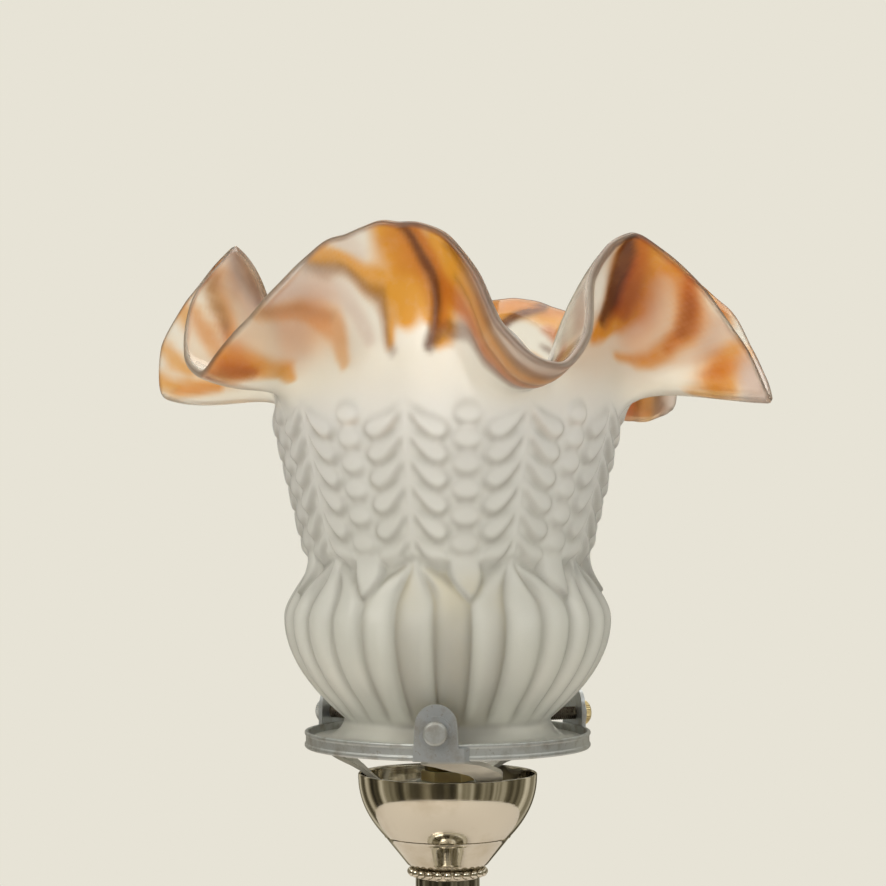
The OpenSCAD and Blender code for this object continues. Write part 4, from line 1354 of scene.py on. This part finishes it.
    def skin(self) -> tuple[Array, list[list[int]], dict[str, Array], int]:
        """Lays out the closed skin: lip, outer face, rounded rim, inner face and bore.

        Returns:
            Points, faces, the colour attributes, and the first inner face.
        """
        angles = np.arange(self.columns) * 360 / self.columns + self.berry_angle
        smooth, raised, share = self.outer(angles)
        turn = np.radians(angles)
        normal = self.normals(smooth)
        foot, bore = self.lip_radius - self.lip_width, self.neck_radius - self.wall
        lip = filleted([(bore, 0, 0.5), (self.lip_radius, 0, 0.8),
                        (self.lip_radius, self.lip_thick, 0.7), (foot, self.lip_thick)], 3)[2:-1]
        rows = [ring(r, turn, h) for r, h in lip]
        rows += list(smooth + raised[:, :, None] * ring(1, turn, 0)[None])
        rim_up = smooth[-1] - smooth[-2]
        rim_up /= np.linalg.norm(rim_up, axis=1, keepdims=True)
        middle = smooth[-1] - normal[-1] * self.wall / 2
        bends, rim_shade = (35, 90, 145), (0.35, 1.0, 0.35)
        for bend in np.radians(bends):
            out = math.cos(bend) * normal[-1] + math.sin(bend) * rim_up
            rows.append(middle + self.wall / 2 * out)
        shares = [-1.0] * len(lip) + list(share) + [1.0] * len(bends)
        # The inner face keeps the flare's rows, thins out those below and stops at the neck
        flare_foot = len(smooth) - self.flare_rows
        last = flare_foot - sum(self.body_rows[1:]) + 1
        picks = [*range(len(smooth) - 1, flare_foot, -1),
                 *range(flare_foot, last - 1, -self.inner_skip)]
        inner = [(smooth[i] - self.wall * normal[i])[::2] for i in picks]
        inner += [ring(bore, turn[::2], height) for height in (self.neck_height, 0.4)]
        inner_shares = [float(share[i]) for i in picks] + [-1.0, -1.0]
        points = np.concatenate([*rows, *inner])
        angle_of = np.concatenate([np.tile(angles, len(rows)), np.tile(angles[::2], len(inner))])
        share_of = [np.repeat(shares, self.columns), np.repeat(inner_shares, self.columns // 2)]
        faces, inner_start = self.faces(len(rows), len(inner))
        amounts = self.colour(angle_of, np.concatenate(share_of), points)
        amounts |= {name: np.zeros(len(points)) for name in ("painted_shade", "edge")}
        begin = len(lip) * self.columns
        outside = slice(begin, begin + raised.size)
        # Painted shade of the pressed pattern, on the outer face
        amounts["painted_shade"][outside] = self.paint_relief_shade(raised, smooth[:, :, 2]).ravel()
        points[outside] -= self.fold_depth * amounts["brown"][outside, None] * normal.reshape(-1, 3)
        # Painted shade: a dark line round the rounded rim
        rim = (len(rows) - len(bends)) * self.columns
        amounts["edge"][rim : len(rows) * self.columns] = np.repeat(rim_shade, self.columns)
        return points, faces, amounts, inner_start

    def faces(self, wide_rows: int, inner_rows: int) -> tuple[list[list[int]], int]:
        """Joins the rows of the skin; the inner rows have half the columns.

        Args:
            wide_rows: rows of the lip, outer face and rim.
            inner_rows: rows of the inner face and bore.

        Returns:
            The faces, and how many of them come before the inner ones.
        """
        wide, slim = self.columns, self.columns // 2
        faces = grid(wide_rows, wide)
        outer_count = len(faces)
        inner = wide_rows * wide

        def halve(row: int, narrow: int, flip: bool) -> None:
            """Joins a wide row to a narrow one, three triangles to each step.

            Args:
                row: the wide row's first point.
                narrow: the narrow row's first point.
                flip: turns the triangles over.
            """
            for j in range(slim):
                a, b, c = row + 2 * j, row + 2 * j + 1, row + (2 * j + 2) % wide
                d, e = narrow + j, narrow + (j + 1) % slim
                for face in ([a, b, d], [b, c, e], [b, e, d]):
                    faces.append(face[::-1] if flip else face)

        halve(inner - wide, inner, False)
        faces += grid(inner_rows, slim, inner)
        halve(0, inner + (inner_rows - 1) * slim, True)
        return faces, outer_count

    def streaks(self) -> list[Streak]:
        """Lists the runs of colour; petals out of view repeat those in view, moved or mirrored.

        Returns:
            The streaks.
        """
        runs = [*FRONT_LEFT_RUNS, *FRONT_TROUGH_RUNS, *FRONT_RIGHT_RUNS, *LEFT_RUNS, *BACK_RUNS]
        copies = ((FRONT_RIGHT_RUNS, -13, True), (FRONT_LEFT_RUNS, 235, False),
                  (FRONT_TROUGH_RUNS, 118, False), (FRONT_TROUGH_RUNS, 178, False))
        return runs + [run.moved(turn, flip) for source, turn, flip in copies for run in source]

    def colour(self, angle: Array, share: Array, points: Array) -> dict[str, Array]:
        """Works out how much of each colour every point has.

        Args:
            angle: each point's angle in degrees.
            share: each point's share of the way up the flare, below 0 on the body.
            points: the points, to turn angles into millimetres.

        Returns:
            An array for each attribute.
        """
        amounts = {ink.value: np.zeros(len(angle)) for ink in Ink}
        near = share > 0.15
        turn, up = angle[near], share[near]
        radius = np.hypot(points[near, 0], points[near, 1])
        way = np.radians(turn)
        # The runs wander a little to the side and up, as poured colour does
        turn = turn + 0.8 * np.sin(11 * way + 7 * up) + 0.4 * np.sin(27 * way - 11 * up)
        up = up + 0.014 * np.sin(19 * way + 1.0) + 0.008 * np.sin(47 * way + 9 * up)
        for streak in self.streaks():
            cover = np.zeros(len(turn))
            for (a0, t0, w0), (a1, t1, w1) in zip(streak.points, streak.points[1:]):
                x0 = np.radians(np.mod(a0 - turn + 180, 360) - 180) * radius
                dx = np.radians(np.mod(a1 - a0 + 180, 360) - 180) * radius
                y0, dy = (t0 - up) * self.flare_length, (t1 - t0) * self.flare_length
                along = np.clip(-(x0 * dx + y0 * dy) / (dx * dx + dy * dy + 1e-9), 0, 1)
                across = np.hypot(x0 + along * dx, y0 + along * dy)
                width = mix(w0, w1, along)
                fade = 0.7 * streak.soft * width * (1 + streak.lean * np.sign(dx * y0 - dy * x0))
                edge = np.maximum(fade, self.softest_edge)
                cover = np.maximum(cover, 1 - ramp(-1, 1, (across - width) / edge))
            amount = amounts[streak.ink.value]
            amount[near] = 1 - (1 - amount[near]) * (1 - streak.strength * cover)
        amounts["milk"] = ramp(0.0, 0.35, share)
        return amounts

    def build(self) -> None:
        """Makes the shade, satin outside and glossy inside."""
        points, faces, amounts, inner_start = self.skin()
        foot = span("glass_shade")[0][2]
        mesh = bpy.data.meshes.new("shade_skin")
        mesh.from_pydata(((points + (0, 0, foot)) * MM).tolist(), [], faces)
        mesh.shade_smooth()
        for finish in (SATIN_GLASS, FIRED_GLASS):
            mesh.materials.append(finish.material())
        inside = np.zeros(len(faces), dtype=np.int32)
        inside[inner_start:] = 1
        mesh.polygons.foreach_set("material_index", inside)
        for name, amount in amounts.items():
            layer = mesh.attributes.new(name, "FLOAT", "POINT")
            layer.data.foreach_set("value", amount.astype(np.float32))
        settle("ruffled_shade", mesh, SATIN_GLASS, "lamp", "glass_shade", dressed=True)


# ---- Gallery and its screws ----


@dataclass
class Gallery:
    """The hoop, the strap spider with its ears, and three thumb screws."""

    band_wall: float = 1.2
    ledge_width: float = 5.2
    ledge_thick: float = 1.0
    groove: float = 0.35
    shank_radius: float = 2.0
    stub_radius: float = 1.1
    thread_pitch: float = 0.7
    thread_depth: float = 0.28
    head_radius: float = 3.7
    head_bore: float = 1.16
    knurl_count: int = 36
    knurl_radius: float = 0.28

    def hoop(self) -> None:
        """Turns the hoop: a band with a rolled edge top and bottom, and the ledge inside."""
        low, high = span("gallery_hoop")
        out, foot, top = high[0], low[2], high[2]
        inner, ledge, thick = out - self.band_wall, out - self.ledge_width, self.ledge_thick
        outline = [
            (ledge, foot, 0.3), (out - 0.4, foot, 0.3), (out, foot + 0.5, 0.3),
            (out, foot + 1.2, 0.3), (out - self.groove, foot + 1.6, 0.2),
            (out - self.groove, top - 1.3, 0.2), (out, top - 0.9, 0.35), (out, top, 0.5),
            (inner, top, 0.45), (inner, foot + thick, 0.3), (ledge, foot + thick, 0.3),
        ]
        mesh = turned("hoop_band", filleted(outline, 4), 216)
        settle("hoop_band", mesh, DULL_PLATE, "lamp", "gallery_hoop")

    @staticmethod
    def reach(node: str, direction: Vector) -> tuple[float, float, Vector]:
        """Measures a screw's piece along its axis.

        Args:
            node: the CAD node.
            direction: the outward direction of the screw.

        Returns:
            Where it starts and ends out from the lamp's axis, in mm, and a point of that axis.
        """
        points = np.array([v.co for v in frame["nodes"][node].data.vertices])
        out = points @ np.array(direction) / MM
        height = float(points[:, 2].min() + points[:, 2].max()) / 2
        return float(out.min()), float(out.max()), Vector((0, 0, height))

    def shank(self, side: str, direction: Vector) -> None:
        """Cuts the threaded shank with its point toward the glass.

        Args:
            side: front, right or left.
            direction: the outward direction of the screw.
        """
        node, around = f"{side}_screw_shank", 36
        start, end, place = self.reach(node, direction)
        seat = self.reach(f"{side}_screw_head", direction)[0] - 0.05
        body = np.arange(start, seat, self.thread_pitch / 6)
        heights = np.concatenate([[start], body, [seat]])
        turn = 2 * np.pi * np.arange(around) / around
        lead = heights[:, None] / self.thread_pitch - turn[None, :] / (2 * np.pi)
        grown = ramp(start + 1.0, start + 2.4, heights)[:, None]
        cut = self.thread_depth * np.abs(2 * np.mod(lead, 1) - 1) * grown
        point = mix(0.8, self.shank_radius, (heights - start) / 2.0)
        shaft = np.minimum(self.shank_radius, point)[:, None] - cut
        tip, stub = np.zeros((1, around)), np.full((2, around), self.stub_radius)
        levels = np.concatenate([[start], heights, [seat, end, end]])
        points = ring(np.vstack([tip, shaft, stub, tip]), turn, levels[:, None])
        mesh = mesh_from(f"{side}_thread", points.reshape(-1, 3), grid(len(levels), around), 50)
        mesh.transform(outward_frame(direction, place))
        settle(f"{side}_threaded_shank", mesh, DARK_STEEL, f"{side}_screw", node)

    def head(self, side: str, direction: Vector, finish: Finish) -> None:
        """Turns the head, with a slightly domed face, and sets its knurl round it.

        Args:
            side: front, right or left.
            direction: the outward direction of the screw.
            finish: the head's finish.
        """
        node = f"{side}_screw_head"
        start, end, place = self.reach(node, direction)
        radius, bore, deep = self.head_radius, self.head_bore, end - 0.6
        outline = [
            (0, deep), (bore, deep, 0.05), (bore, start, 0.05), (radius - 0.6, start, 0.2),
            (radius - 0.22, start + 0.45, 0.2), (radius - 0.22, end - 0.75, 0.2),
            (radius - 0.75, end - 0.1, 0.35), (2.2, end - 0.02, 0.8), (0, end - 0.12),
        ]
        disc = turned(f"{side}_head_disc", filleted(outline, 4), 96, closed=False)
        length = end - start - 1.3
        ridges = RingOfCopies(Copy.RIDGE, finish, self.knurl_count, radius - 0.3,
                              (start + end) / 2 - 0.15, self.knurl_radius, length)
        work = bmesh.new()
        for mesh in (disc, ridges.mesh(f"{side}_head_knurl")):
            work.from_mesh(mesh)
            bpy.data.meshes.remove(mesh)
        whole = bpy.data.meshes.new(f"{side}_head")
        work.to_mesh(whole)
        work.free()
        whole.transform(outward_frame(direction, place))
        settle(f"{side}_knurled_head", whole, finish, f"{side}_screw_grip", node)

    def build(self) -> None:
        """Makes the gallery. The right screw's head is worn to its brass, as the photo shows."""
        self.hoop()
        softened("gallery_spider", STRAP_PLATE, 0.3)
        axes = {j["name"]: Vector(j["axis"]) for j in frame["joints"]}
        heads = {"front": DULL_PLATE, "right": WORN_BRASS, "left": DULL_PLATE}
        for side, finish in heads.items():
            direction = axes[f"{side}_screw_travel"]
            self.shank(side, direction)
            self.head(side, direction, finish)


# ---- Bulb and lampholder ----


@dataclass
class Bulb:
    """The opal bulb with its bayonet cap."""

    globe_radius: float = 30.0
    shoulder_degrees: float = 40.0
    neck_radius: float = 10.5
    neck_flare: float = 0.9
    cap_length: float = 13.0
    glass: float = 0.7

    def envelope(self) -> Array:
        """Draws the envelope's outer face from its foot to its crown.

        Returns:
            Points as (radius, height).
        """
        low, high = span("bulb_glass")
        neck, foot, top = self.neck_radius, low[2], high[2]
        middle = top - self.globe_radius
        cap_top = foot + self.cap_length
        shoulder = math.radians(self.shoulder_degrees)
        flare_r, flare_h = neck + self.neck_flare, cap_top + 4
        points = [(neck, foot), (neck, cap_top), (mix(neck, flare_r, 0.4), cap_top + 2)]
        end_r = self.globe_radius * math.cos(shoulder)
        end_h = middle - self.globe_radius * math.sin(shoulder)
        for u in np.arange(25) / 24:
            points.append((mix(flare_r, end_r, 0.65 * u + 0.35 * u * u), mix(flare_h, end_h, u)))
        for u in np.arange(1, 39) / 39:
            a = mix(-shoulder, math.pi / 2, u)
            out, up = self.globe_radius * math.cos(a), self.globe_radius * math.sin(a)
            points.append((out, middle + up))
        return np.array([*points, (0.0, top)])

    def build(self) -> None:
        """Makes the bulb's pieces."""
        outer = self.envelope()
        inner = inset(outer, self.glass)
        inner[:, 0] = np.maximum(inner[:, 0], 0)
        inner[-1] = (0.0, outer[-1, 1] - self.glass)
        mesh = turned("bulb_envelope", np.vstack([inner[::-1], outer]), 144, closed=False)
        settle("opal_globe", mesh, OPAL_GLASS, "bulb", "bulb_glass")
        for part, finish, edge_mm in (
            ("cap", WORN_BRASS, 0.12), ("insulator", VITRITE, 0.2), ("contacts", SOLDER, 0.5),
            ("stem", STEM_GLASS, 0.1), ("filament", TUNGSTEN, 0.02),
        ):
            softened(f"bulb_{part}", finish, edge_mm, "bulb")


@dataclass
class Lampholder:
    """The bayonet lampholder and the hardware under it."""

    knurl_count: int = 60
    knurl_radius: float = 0.34
    knurl_length: float = 4.2
    knurl_up: float = 2.9
    press: float = 1.5

    def ring_knurl(self) -> None:
        """Sets the knurl round the shade ring."""
        low, high = span("lampholder_ring")
        radius, height = high[0] - self.knurl_radius, low[2] + self.knurl_up
        ridges = RingOfCopies(Copy.RIDGE, HOLDER_BRASS_SHADED, self.knurl_count, radius, height,
                              self.knurl_radius, self.knurl_length)
        settle("lampholder_ring_knurl", ridges.mesh("ring_knurl"), HOLDER_BRASS_SHADED, "lamp")

    def springs(self) -> None:
        """Copies the two coil springs and gives the piece a mesh of its own."""
        coils = frame["nodes"]["plunger_springs"].data.copy()
        piece = settle("coil_springs", coils, ZINC_STEEL, "lamp", "plunger_springs")
        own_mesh(piece)

    def build(self) -> None:
        """Makes the lampholder's pieces and the hardware under it."""
        softened("lampholder_cap", HOLDER_BRASS_SHADED, 0.25)
        softened("lampholder_barrel", HOLDER_BRASS_SHADED, 0.12)
        softened("lampholder_ring", HOLDER_BRASS_SHADED, 0.25)
        self.ring_knurl()
        softened("lampholder_core", PORCELAIN, 0.3)
        softened("contact_plungers", WORN_BRASS, 0.3, "plungers")
        self.springs()
        softened("terminal_screws", WORN_BRASS, 0.2)
        softened("hub_washer", ZINC_STEEL)
        softened("hub_nut", WORN_BRASS, 0.25)
        softened("spacer_tube", WORN_BRASS, 0.2)


# ---- Cup, column and collars ----


@dataclass
class CupAndColumn:
    """The spun cup, the beaded collars and the drawn column."""

    cup_wall: float = 0.8
    crease_share: float = 0.318
    crease_narrowing: float = 0.7
    bead_radius: float = 1.3
    bead_count: int = 24
    bead_ring: float = 10.9
    core_radius: float = 10.6
    core_groove: float = 1.4
    core_foot: float = 9.65
    spigot_radius: float = 8.59
    spigot_length: float = 2.0
    disc_reach: float = 2.4
    column_wall: float = 1.0

    def cup(self) -> None:
        """Spins the cup: a cone from its foot to a crease, then a belly up to the rolled rim."""
        low, high = span("cup")
        foot, height, rim = low[2], high[2] - low[2], high[0]
        crease, crease_r = self.crease_share * height, self.crease_narrowing * rim
        path = [(BORE, 0.0), (11.1, 0.0), (11.45, 0.12), (11.75, 0.28), (12.1, 0.5)]
        path += [(mix(12.1, crease_r, k / 6), mix(0.5, crease, k / 6)) for k in range(1, 6)]
        path += [(crease_r - 0.25, crease - 0.25), (crease_r + 0.12, crease - 0.12)]
        for u in np.arange(33) / 32:
            path.append((mix(rim, crease_r, (1 - u) ** 2.2), mix(crease, height - 0.35, u)))
        inner = inset(np.array(path), self.cup_wall)
        lip = [(rim - 0.12, height - 0.1), (rim - 0.4, height), (rim - 0.68, height - 0.1)]
        loop = [(max(r, BORE), foot + h) for r, h in (*path, *lip, *inner[::-1])]
        settle("spun_cup", turned("spun_cup", loop, 216), SPUN_NICKEL, "lamp", "cup")

    def collar(self, name: str, node: str, upright: bool, disc: float) -> None:
        """Turns a collar and sets its beads round it.

        Args:
            name: the piece's name.
            node: the CAD node that it replaces.
            upright: beads at the top, or at the bottom when it stands on the base.
            disc: thickness of the disc under it, or 0.
        """
        low, high = span(node)
        core, down = self.core_radius, self.spigot_length
        groove = core - self.core_groove
        sign = 1 if upright else -1
        seat = low[2] + down if upright else high[2] - down
        height = (high[2] - low[2]) - down - disc
        bead_at = height - 0.4 - self.bead_radius
        outline = [
            (BORE, -down, 0.2), (self.spigot_radius, -down, 0.3), (self.spigot_radius, 0.0),
            (self.core_foot, 0.0, 0.1), (core - 0.2, bead_at - 0.4, 0.2),
            (core, bead_at + 0.9, 0.3), (groove, bead_at + 1.3, 0.1), (groove, height),
        ]
        if disc:
            wide = core + self.disc_reach
            outline += [
                (wide - 0.3, height, 0.3), (wide, height + disc / 2, 0.3),
                (wide, height + disc, 0.2), (BORE, height + disc, 0.1),
            ]
        else:
            outline.append((BORE, height))
        profile = [(r, seat + sign * h) for r, h in filleted(outline, 4)]
        settle(name, turned(f"{name}_core", profile, 144), SPUN_NICKEL, "lamp", node)
        beads = RingOfCopies(Copy.BEAD, SPUN_NICKEL, self.bead_count, self.bead_ring,
                             seat + sign * bead_at, self.bead_radius)
        settle(f"{name}_beads", beads.mesh(f"{name}_beads"), SPUN_NICKEL, "lamp")

    def column(self) -> None:
        """Draws the tube with its ends broken."""
        low, high = span("column_tube")
        foot, top, out = low[2], high[2], high[0]
        bore = out - self.column_wall
        outline = [(bore, foot, 0.2), (out, foot, 0.25), (out, top, 0.25), (bore, top, 0.2)]
        mesh = turned("column_drawn", filleted(outline, 3), 160)
        settle("column_drawn", mesh, DRAWN_NICKEL, "lamp", "column_tube")

    def build(self) -> None:
        """Makes the cup, the collars, the column and its rod."""
        self.cup()
        self.collar("upper_collar", "beaded_collar", True, 0.0)
        self.column()
        self.collar("lower_collar", "foot_collar", False, 1.6)
        softened("threaded_rod", ZINC_STEEL, 0.2)


# ---- Base ----


@dataclass
class Base:
    """The spun base shell with its weight, plate, felt and flex bush."""

    wall: float = 1.2
    brow_radius: float = 14.2
    brow_height: float = 1.4
    band_foot: float = 5.0
    band_inset: float = 1.5
    bell_inset: float = 7.5
    bell_height: float = 21.5
    shoulder: float = 3.5
    bush_radius: float = 4.66

    def shell_path(self, radius: float, top: float, foot: float) -> list[tuple[float, float]]:
        """Draws the shell's outer face from its hem up to the hole for the rod.

        Args:
            radius: the foot ring's radius.
            top: the shell's height.
            foot: the hem's height.

        Returns:
            Points as (radius, height).
        """
        band = radius - self.band_inset
        bell_r, bell_h = band - self.bell_inset, top - self.bell_height
        band_top = bell_h - self.shoulder
        corners = [
            (radius, foot), (radius, self.band_foot - 1.2, 0.7), (band, self.band_foot, 0.35),
            (band, band_top + 1.6, 1.3), (bell_r + 3.0, band_top + 2.5, 0.8),
            (bell_r + 1.6, bell_h - 0.3, 0.8),
        ]
        for u in 1 - np.arange(33) / 32:
            eased = (1 - math.cos(math.pi * u)) / 2
            height = mix(top - self.brow_height, bell_h, eased)
            corners.append((mix(self.brow_radius, bell_r, u), height))
        brow = self.brow_radius
        corners += [(brow - 0.2, top - 0.7, 0.3), (brow - 1.2, top, 0.5), (BORE, top), (BORE, foot)]
        return filleted(corners, 5)[:-1]

    def shell(self) -> None:
        """Spins the shell and drills it for the flex bush."""
        low, high = span("base_shell")
        path = np.array(self.shell_path(high[0], high[2], low[2]))
        apart = np.linalg.norm(np.diff(path, axis=0), axis=1) > 0.02
        path = path[np.concatenate([[True], apart])]
        inner = inset(path, self.wall)
        inner[:, 0] = np.maximum(inner[:, 0], BORE)
        mesh = turned("base_spun", np.vstack([path, inner[::-1]]), 216)
        self.drill(settle("base_spun", mesh, SPUN_NICKEL, "lamp", "base_shell"), high[1])

    def drill(self, piece: Piece, radius: float) -> None:
        """Cuts the bush's hole at the back of the shell.

        Args:
            piece: the shell.
            radius: the shell's radius.
        """
        height = sum(corner[2] for corner in span("inlet_bush")) / 2
        inward, outward, hole = -14, 4, self.bush_radius
        outline = [(0, inward), (hole, inward), (hole, outward), (0, outward)]
        drill = turned("bush_drill", outline, 64, closed=False)
        drill.transform(outward_frame(Vector((0, 1, 0)), Vector((0, radius * MM, height * MM))))
        cutter = linked("bush_drill", drill)
        cut = piece.modifiers.new("bush_hole", "BOOLEAN")
        cut.operation = "DIFFERENCE"
        cut.solver = "EXACT"
        cut.object = cutter
        made = evaluated(piece)
        piece.modifiers.clear()
        piece.data = made
        bpy.data.objects.remove(cutter)

    def felt(self) -> None:
        """Cuts the felt disc with a soft edge."""
        low, high = span("felt_pad")
        foot, top, edge = low[2], high[2], high[0]
        outline = filleted([(0, foot), (edge, foot, 0.5), (edge, top, 0.3), (0, top)], 4)
        mesh = turned("felt_disc", outline, 160, closed=False)
        settle("felt_disc", mesh, WOOL_FELT, "lamp", "felt_pad")

    def build(self) -> None:
        """Makes the base's pieces."""
        self.shell()
        self.felt()
        for node, finish, edge_mm in (
            ("ballast", CAST_IRON, 0.5), ("base_washer", ZINC_STEEL, 0.15),
            ("base_nut", ZINC_STEEL, 0.25), ("base_plate", ZINC_STEEL, 0.15),
            ("plate_screws", ZINC_STEEL, 0.1), ("inlet_bush", BLACK_MOULDING, 0.3),
            ("inlet_nut", BLACK_MOULDING, 0.3), ("earth_screw", WORN_BRASS, 0.3),
        ):
            softened(node, finish, edge_mm)


# ---- Studio ----


@dataclass
class Studio:
    """A plain pale floor, soft lights and the camera at the photo's place."""

    cream: str = "#e7e3d6"
    ambient: str = "#f4f3f0"
    ambient_strength: float = 0.62
    paper: str = "#e2d9cd"
    distance: float = 869.0
    eye_height: float = 350.0
    eye_side: float = -1.4
    lens: float = 117.0
    sensor: float = 36.0
    floor_radius: float = 900.0
    table_edge: float = 480.0
    room_radius: float = 1300.0
    room_height: float = 900.0
    lamp_aim: float = 0.3

    def world(self) -> None:
        """Lights the room evenly; the eye, metal and the view through glass get the cream wall."""
        world = bpy.data.worlds.new("studio_air")
        bpy.context.scene.world = world
        nodes = Nodes.fresh(world)
        seen = nodes.add("ShaderNodeLightPath").outputs
        eye_or_gloss = nodes.maths("MAXIMUM", seen["Is Camera Ray"], seen["Is Glossy Ray"])
        any_of = nodes.maths("MAXIMUM", eye_or_gloss, seen["Is Transmission Ray"])
        kind = "ShaderNodeBackground"
        wall = nodes.add(kind, {"Color": linear(self.cream), "Strength": 1.0})
        air = nodes.add(kind, {"Color": linear(self.ambient), "Strength": self.ambient_strength})
        either = nodes.add("ShaderNodeMixShader", {0: any_of, 1: air, 2: wall})
        nodes.add("ShaderNodeOutputWorld", {"Surface": either})

    @staticmethod
    def stand(name: str, outline: Path, steps: int, material: str) -> tuple[Piece, Nodes, Socket]:
        """Turns a part of the set and starts its material.

        Args:
            name: its name.
            outline: points as (radius, height).
            steps: how many steps the turn has.
            material: the material's name.

        Returns:
            The part, its material's nodes and the object's coordinates.
        """
        part = linked(name, turned(name, outline, steps, closed=outline[0][0] > 0))
        made = bpy.data.materials.new(material)
        part.data.materials.append(made)
        nodes = Nodes.fresh(made)
        return part, nodes, nodes.add("ShaderNodeTexCoord").outputs["Object"]

    def floor(self) -> None:
        """Lays a round floor under the lamp that fades into the wall's colour."""
        outline = [(radius, -0.02) for radius in (0, 200, 500, self.floor_radius)]
        _, nodes, place = self.stand("studio_floor", outline, 128, "matt_paper")
        far = nodes.add("ShaderNodeVectorMath", {0: place}, operation="LENGTH").outputs["Value"]
        fade = nodes.remap(far, 0.35, 0.88, how="SMOOTHSTEP")
        matt = nodes.add("ShaderNodeBsdfDiffuse", {"Color": linear(self.paper)})
        clear = nodes.add("ShaderNodeBsdfTransparent")
        either = nodes.add("ShaderNodeMixShader", {0: fade, 1: matt, 2: clear})
        nodes.add("ShaderNodeOutputMaterial", {"Surface": either})

    def room(self) -> None:
        """Stands a dim room round the table for the metal to mirror; nothing else sees it."""
        edge, wall, top = self.table_edge, self.room_radius, self.room_height
        back = wall + 2
        outline = [(edge, 0.5), (wall, 0.5), (wall, top), (back, top), (back, 0.2), (edge, 0.2)]
        room, nodes, place = self.stand("dim_room", outline, 96, "dim_wall")
        level = {0: place, 1: (1.0, 1.0, 0.0)}
        flat = nodes.add("ShaderNodeVectorMath", level, operation="MULTIPLY")
        way = nodes.add("ShaderNodeVectorMath", {0: flat}, operation="NORMALIZE").outputs[0]
        panels = nodes.noise(way, 1 / (2.6 * MM), 2.5, 0.55)
        tone = nodes.add("ShaderNodeValToRGB", {"Fac": panels})
        stops = ((0.36, "#2a261e"), (0.47, "#5b5543"), (0.55, "#8c8570"), (0.66, "#d6cfbb"))
        while len(tone.color_ramp.elements) < len(stops):
            tone.color_ramp.elements.new(1.0)
        for element, (place, colour) in zip(tone.color_ramp.elements, stops):
            element.position, element.color = place, linear(colour)
        glow = nodes.add("ShaderNodeEmission", {"Color": tone, "Strength": 1.0})
        nodes.add("ShaderNodeOutputMaterial", {"Surface": glow})
        for ray in ("camera", "diffuse", "transmission", "shadow"):
            setattr(room, f"visible_{ray}", False)

    def lamp(
        self, name: str, place: Sequence[float], size: float, power: float, colour: str
    ) -> Piece:
        """Hangs a square soft light that faces the shade.

        Args:
            name: its name.
            place: where it hangs, in metres.
            size: its side in metres.
            power: its power in watts.
            colour: its colour.

        Returns:
            The light.
        """
        data = bpy.data.lights.new(name, "AREA")
        data.shape, data.size, data.energy = "SQUARE", size, power
        data.color = linear(colour)[:3]
        light = linked(name, data)
        light.location = place
        aim = Vector((0, 0, self.lamp_aim)) - Vector(place)
        light.rotation_euler = aim.to_track_quat("-Z", "Y").to_euler()
        return light

    def camera(self) -> None:
        """Sets the camera level, at the photo's distance and height."""
        data = bpy.data.cameras.new("view")
        data.lens, data.sensor_width = self.lens, self.sensor
        camera = linked("view", data)
        camera.location = (self.eye_side * MM, -self.distance * MM, self.eye_height * MM)
        camera.rotation_euler = (math.pi / 2, 0, 0)
        bpy.context.scene.camera = camera

    def build(self) -> None:
        """Sets up the whole studio."""
        bpy.context.scene.view_settings.view_transform = "Standard"
        self.world()
        self.floor()
        self.lamp("key", (-0.9, -1.1, 1.15), 0.9, 13.0, "#fffaf2")
        self.lamp("fill", (1.2, -0.9, 0.7), 1.0, 4.5, "#f4f7fb")
        self.lamp("top", (0.1, 0.35, 1.5), 0.9, 6.5, "#fffdf8")
        self.lamp("low", (-0.12, -0.95, 0.12), 0.4, 2.4, "#fffdf8").visible_glossy = False
        self.room()
        self.camera()


def main() -> None:
    """Builds every sub-assembly, then the studio."""
    logging.basicConfig(level=logging.INFO, format="%(message)s", stream=sys.stdout)
    for maker in (RuffledShade, Gallery, Bulb, Lampholder, CupAndColumn, Base, Studio):
        maker().build()


if __name__ == "__main__":
    main()
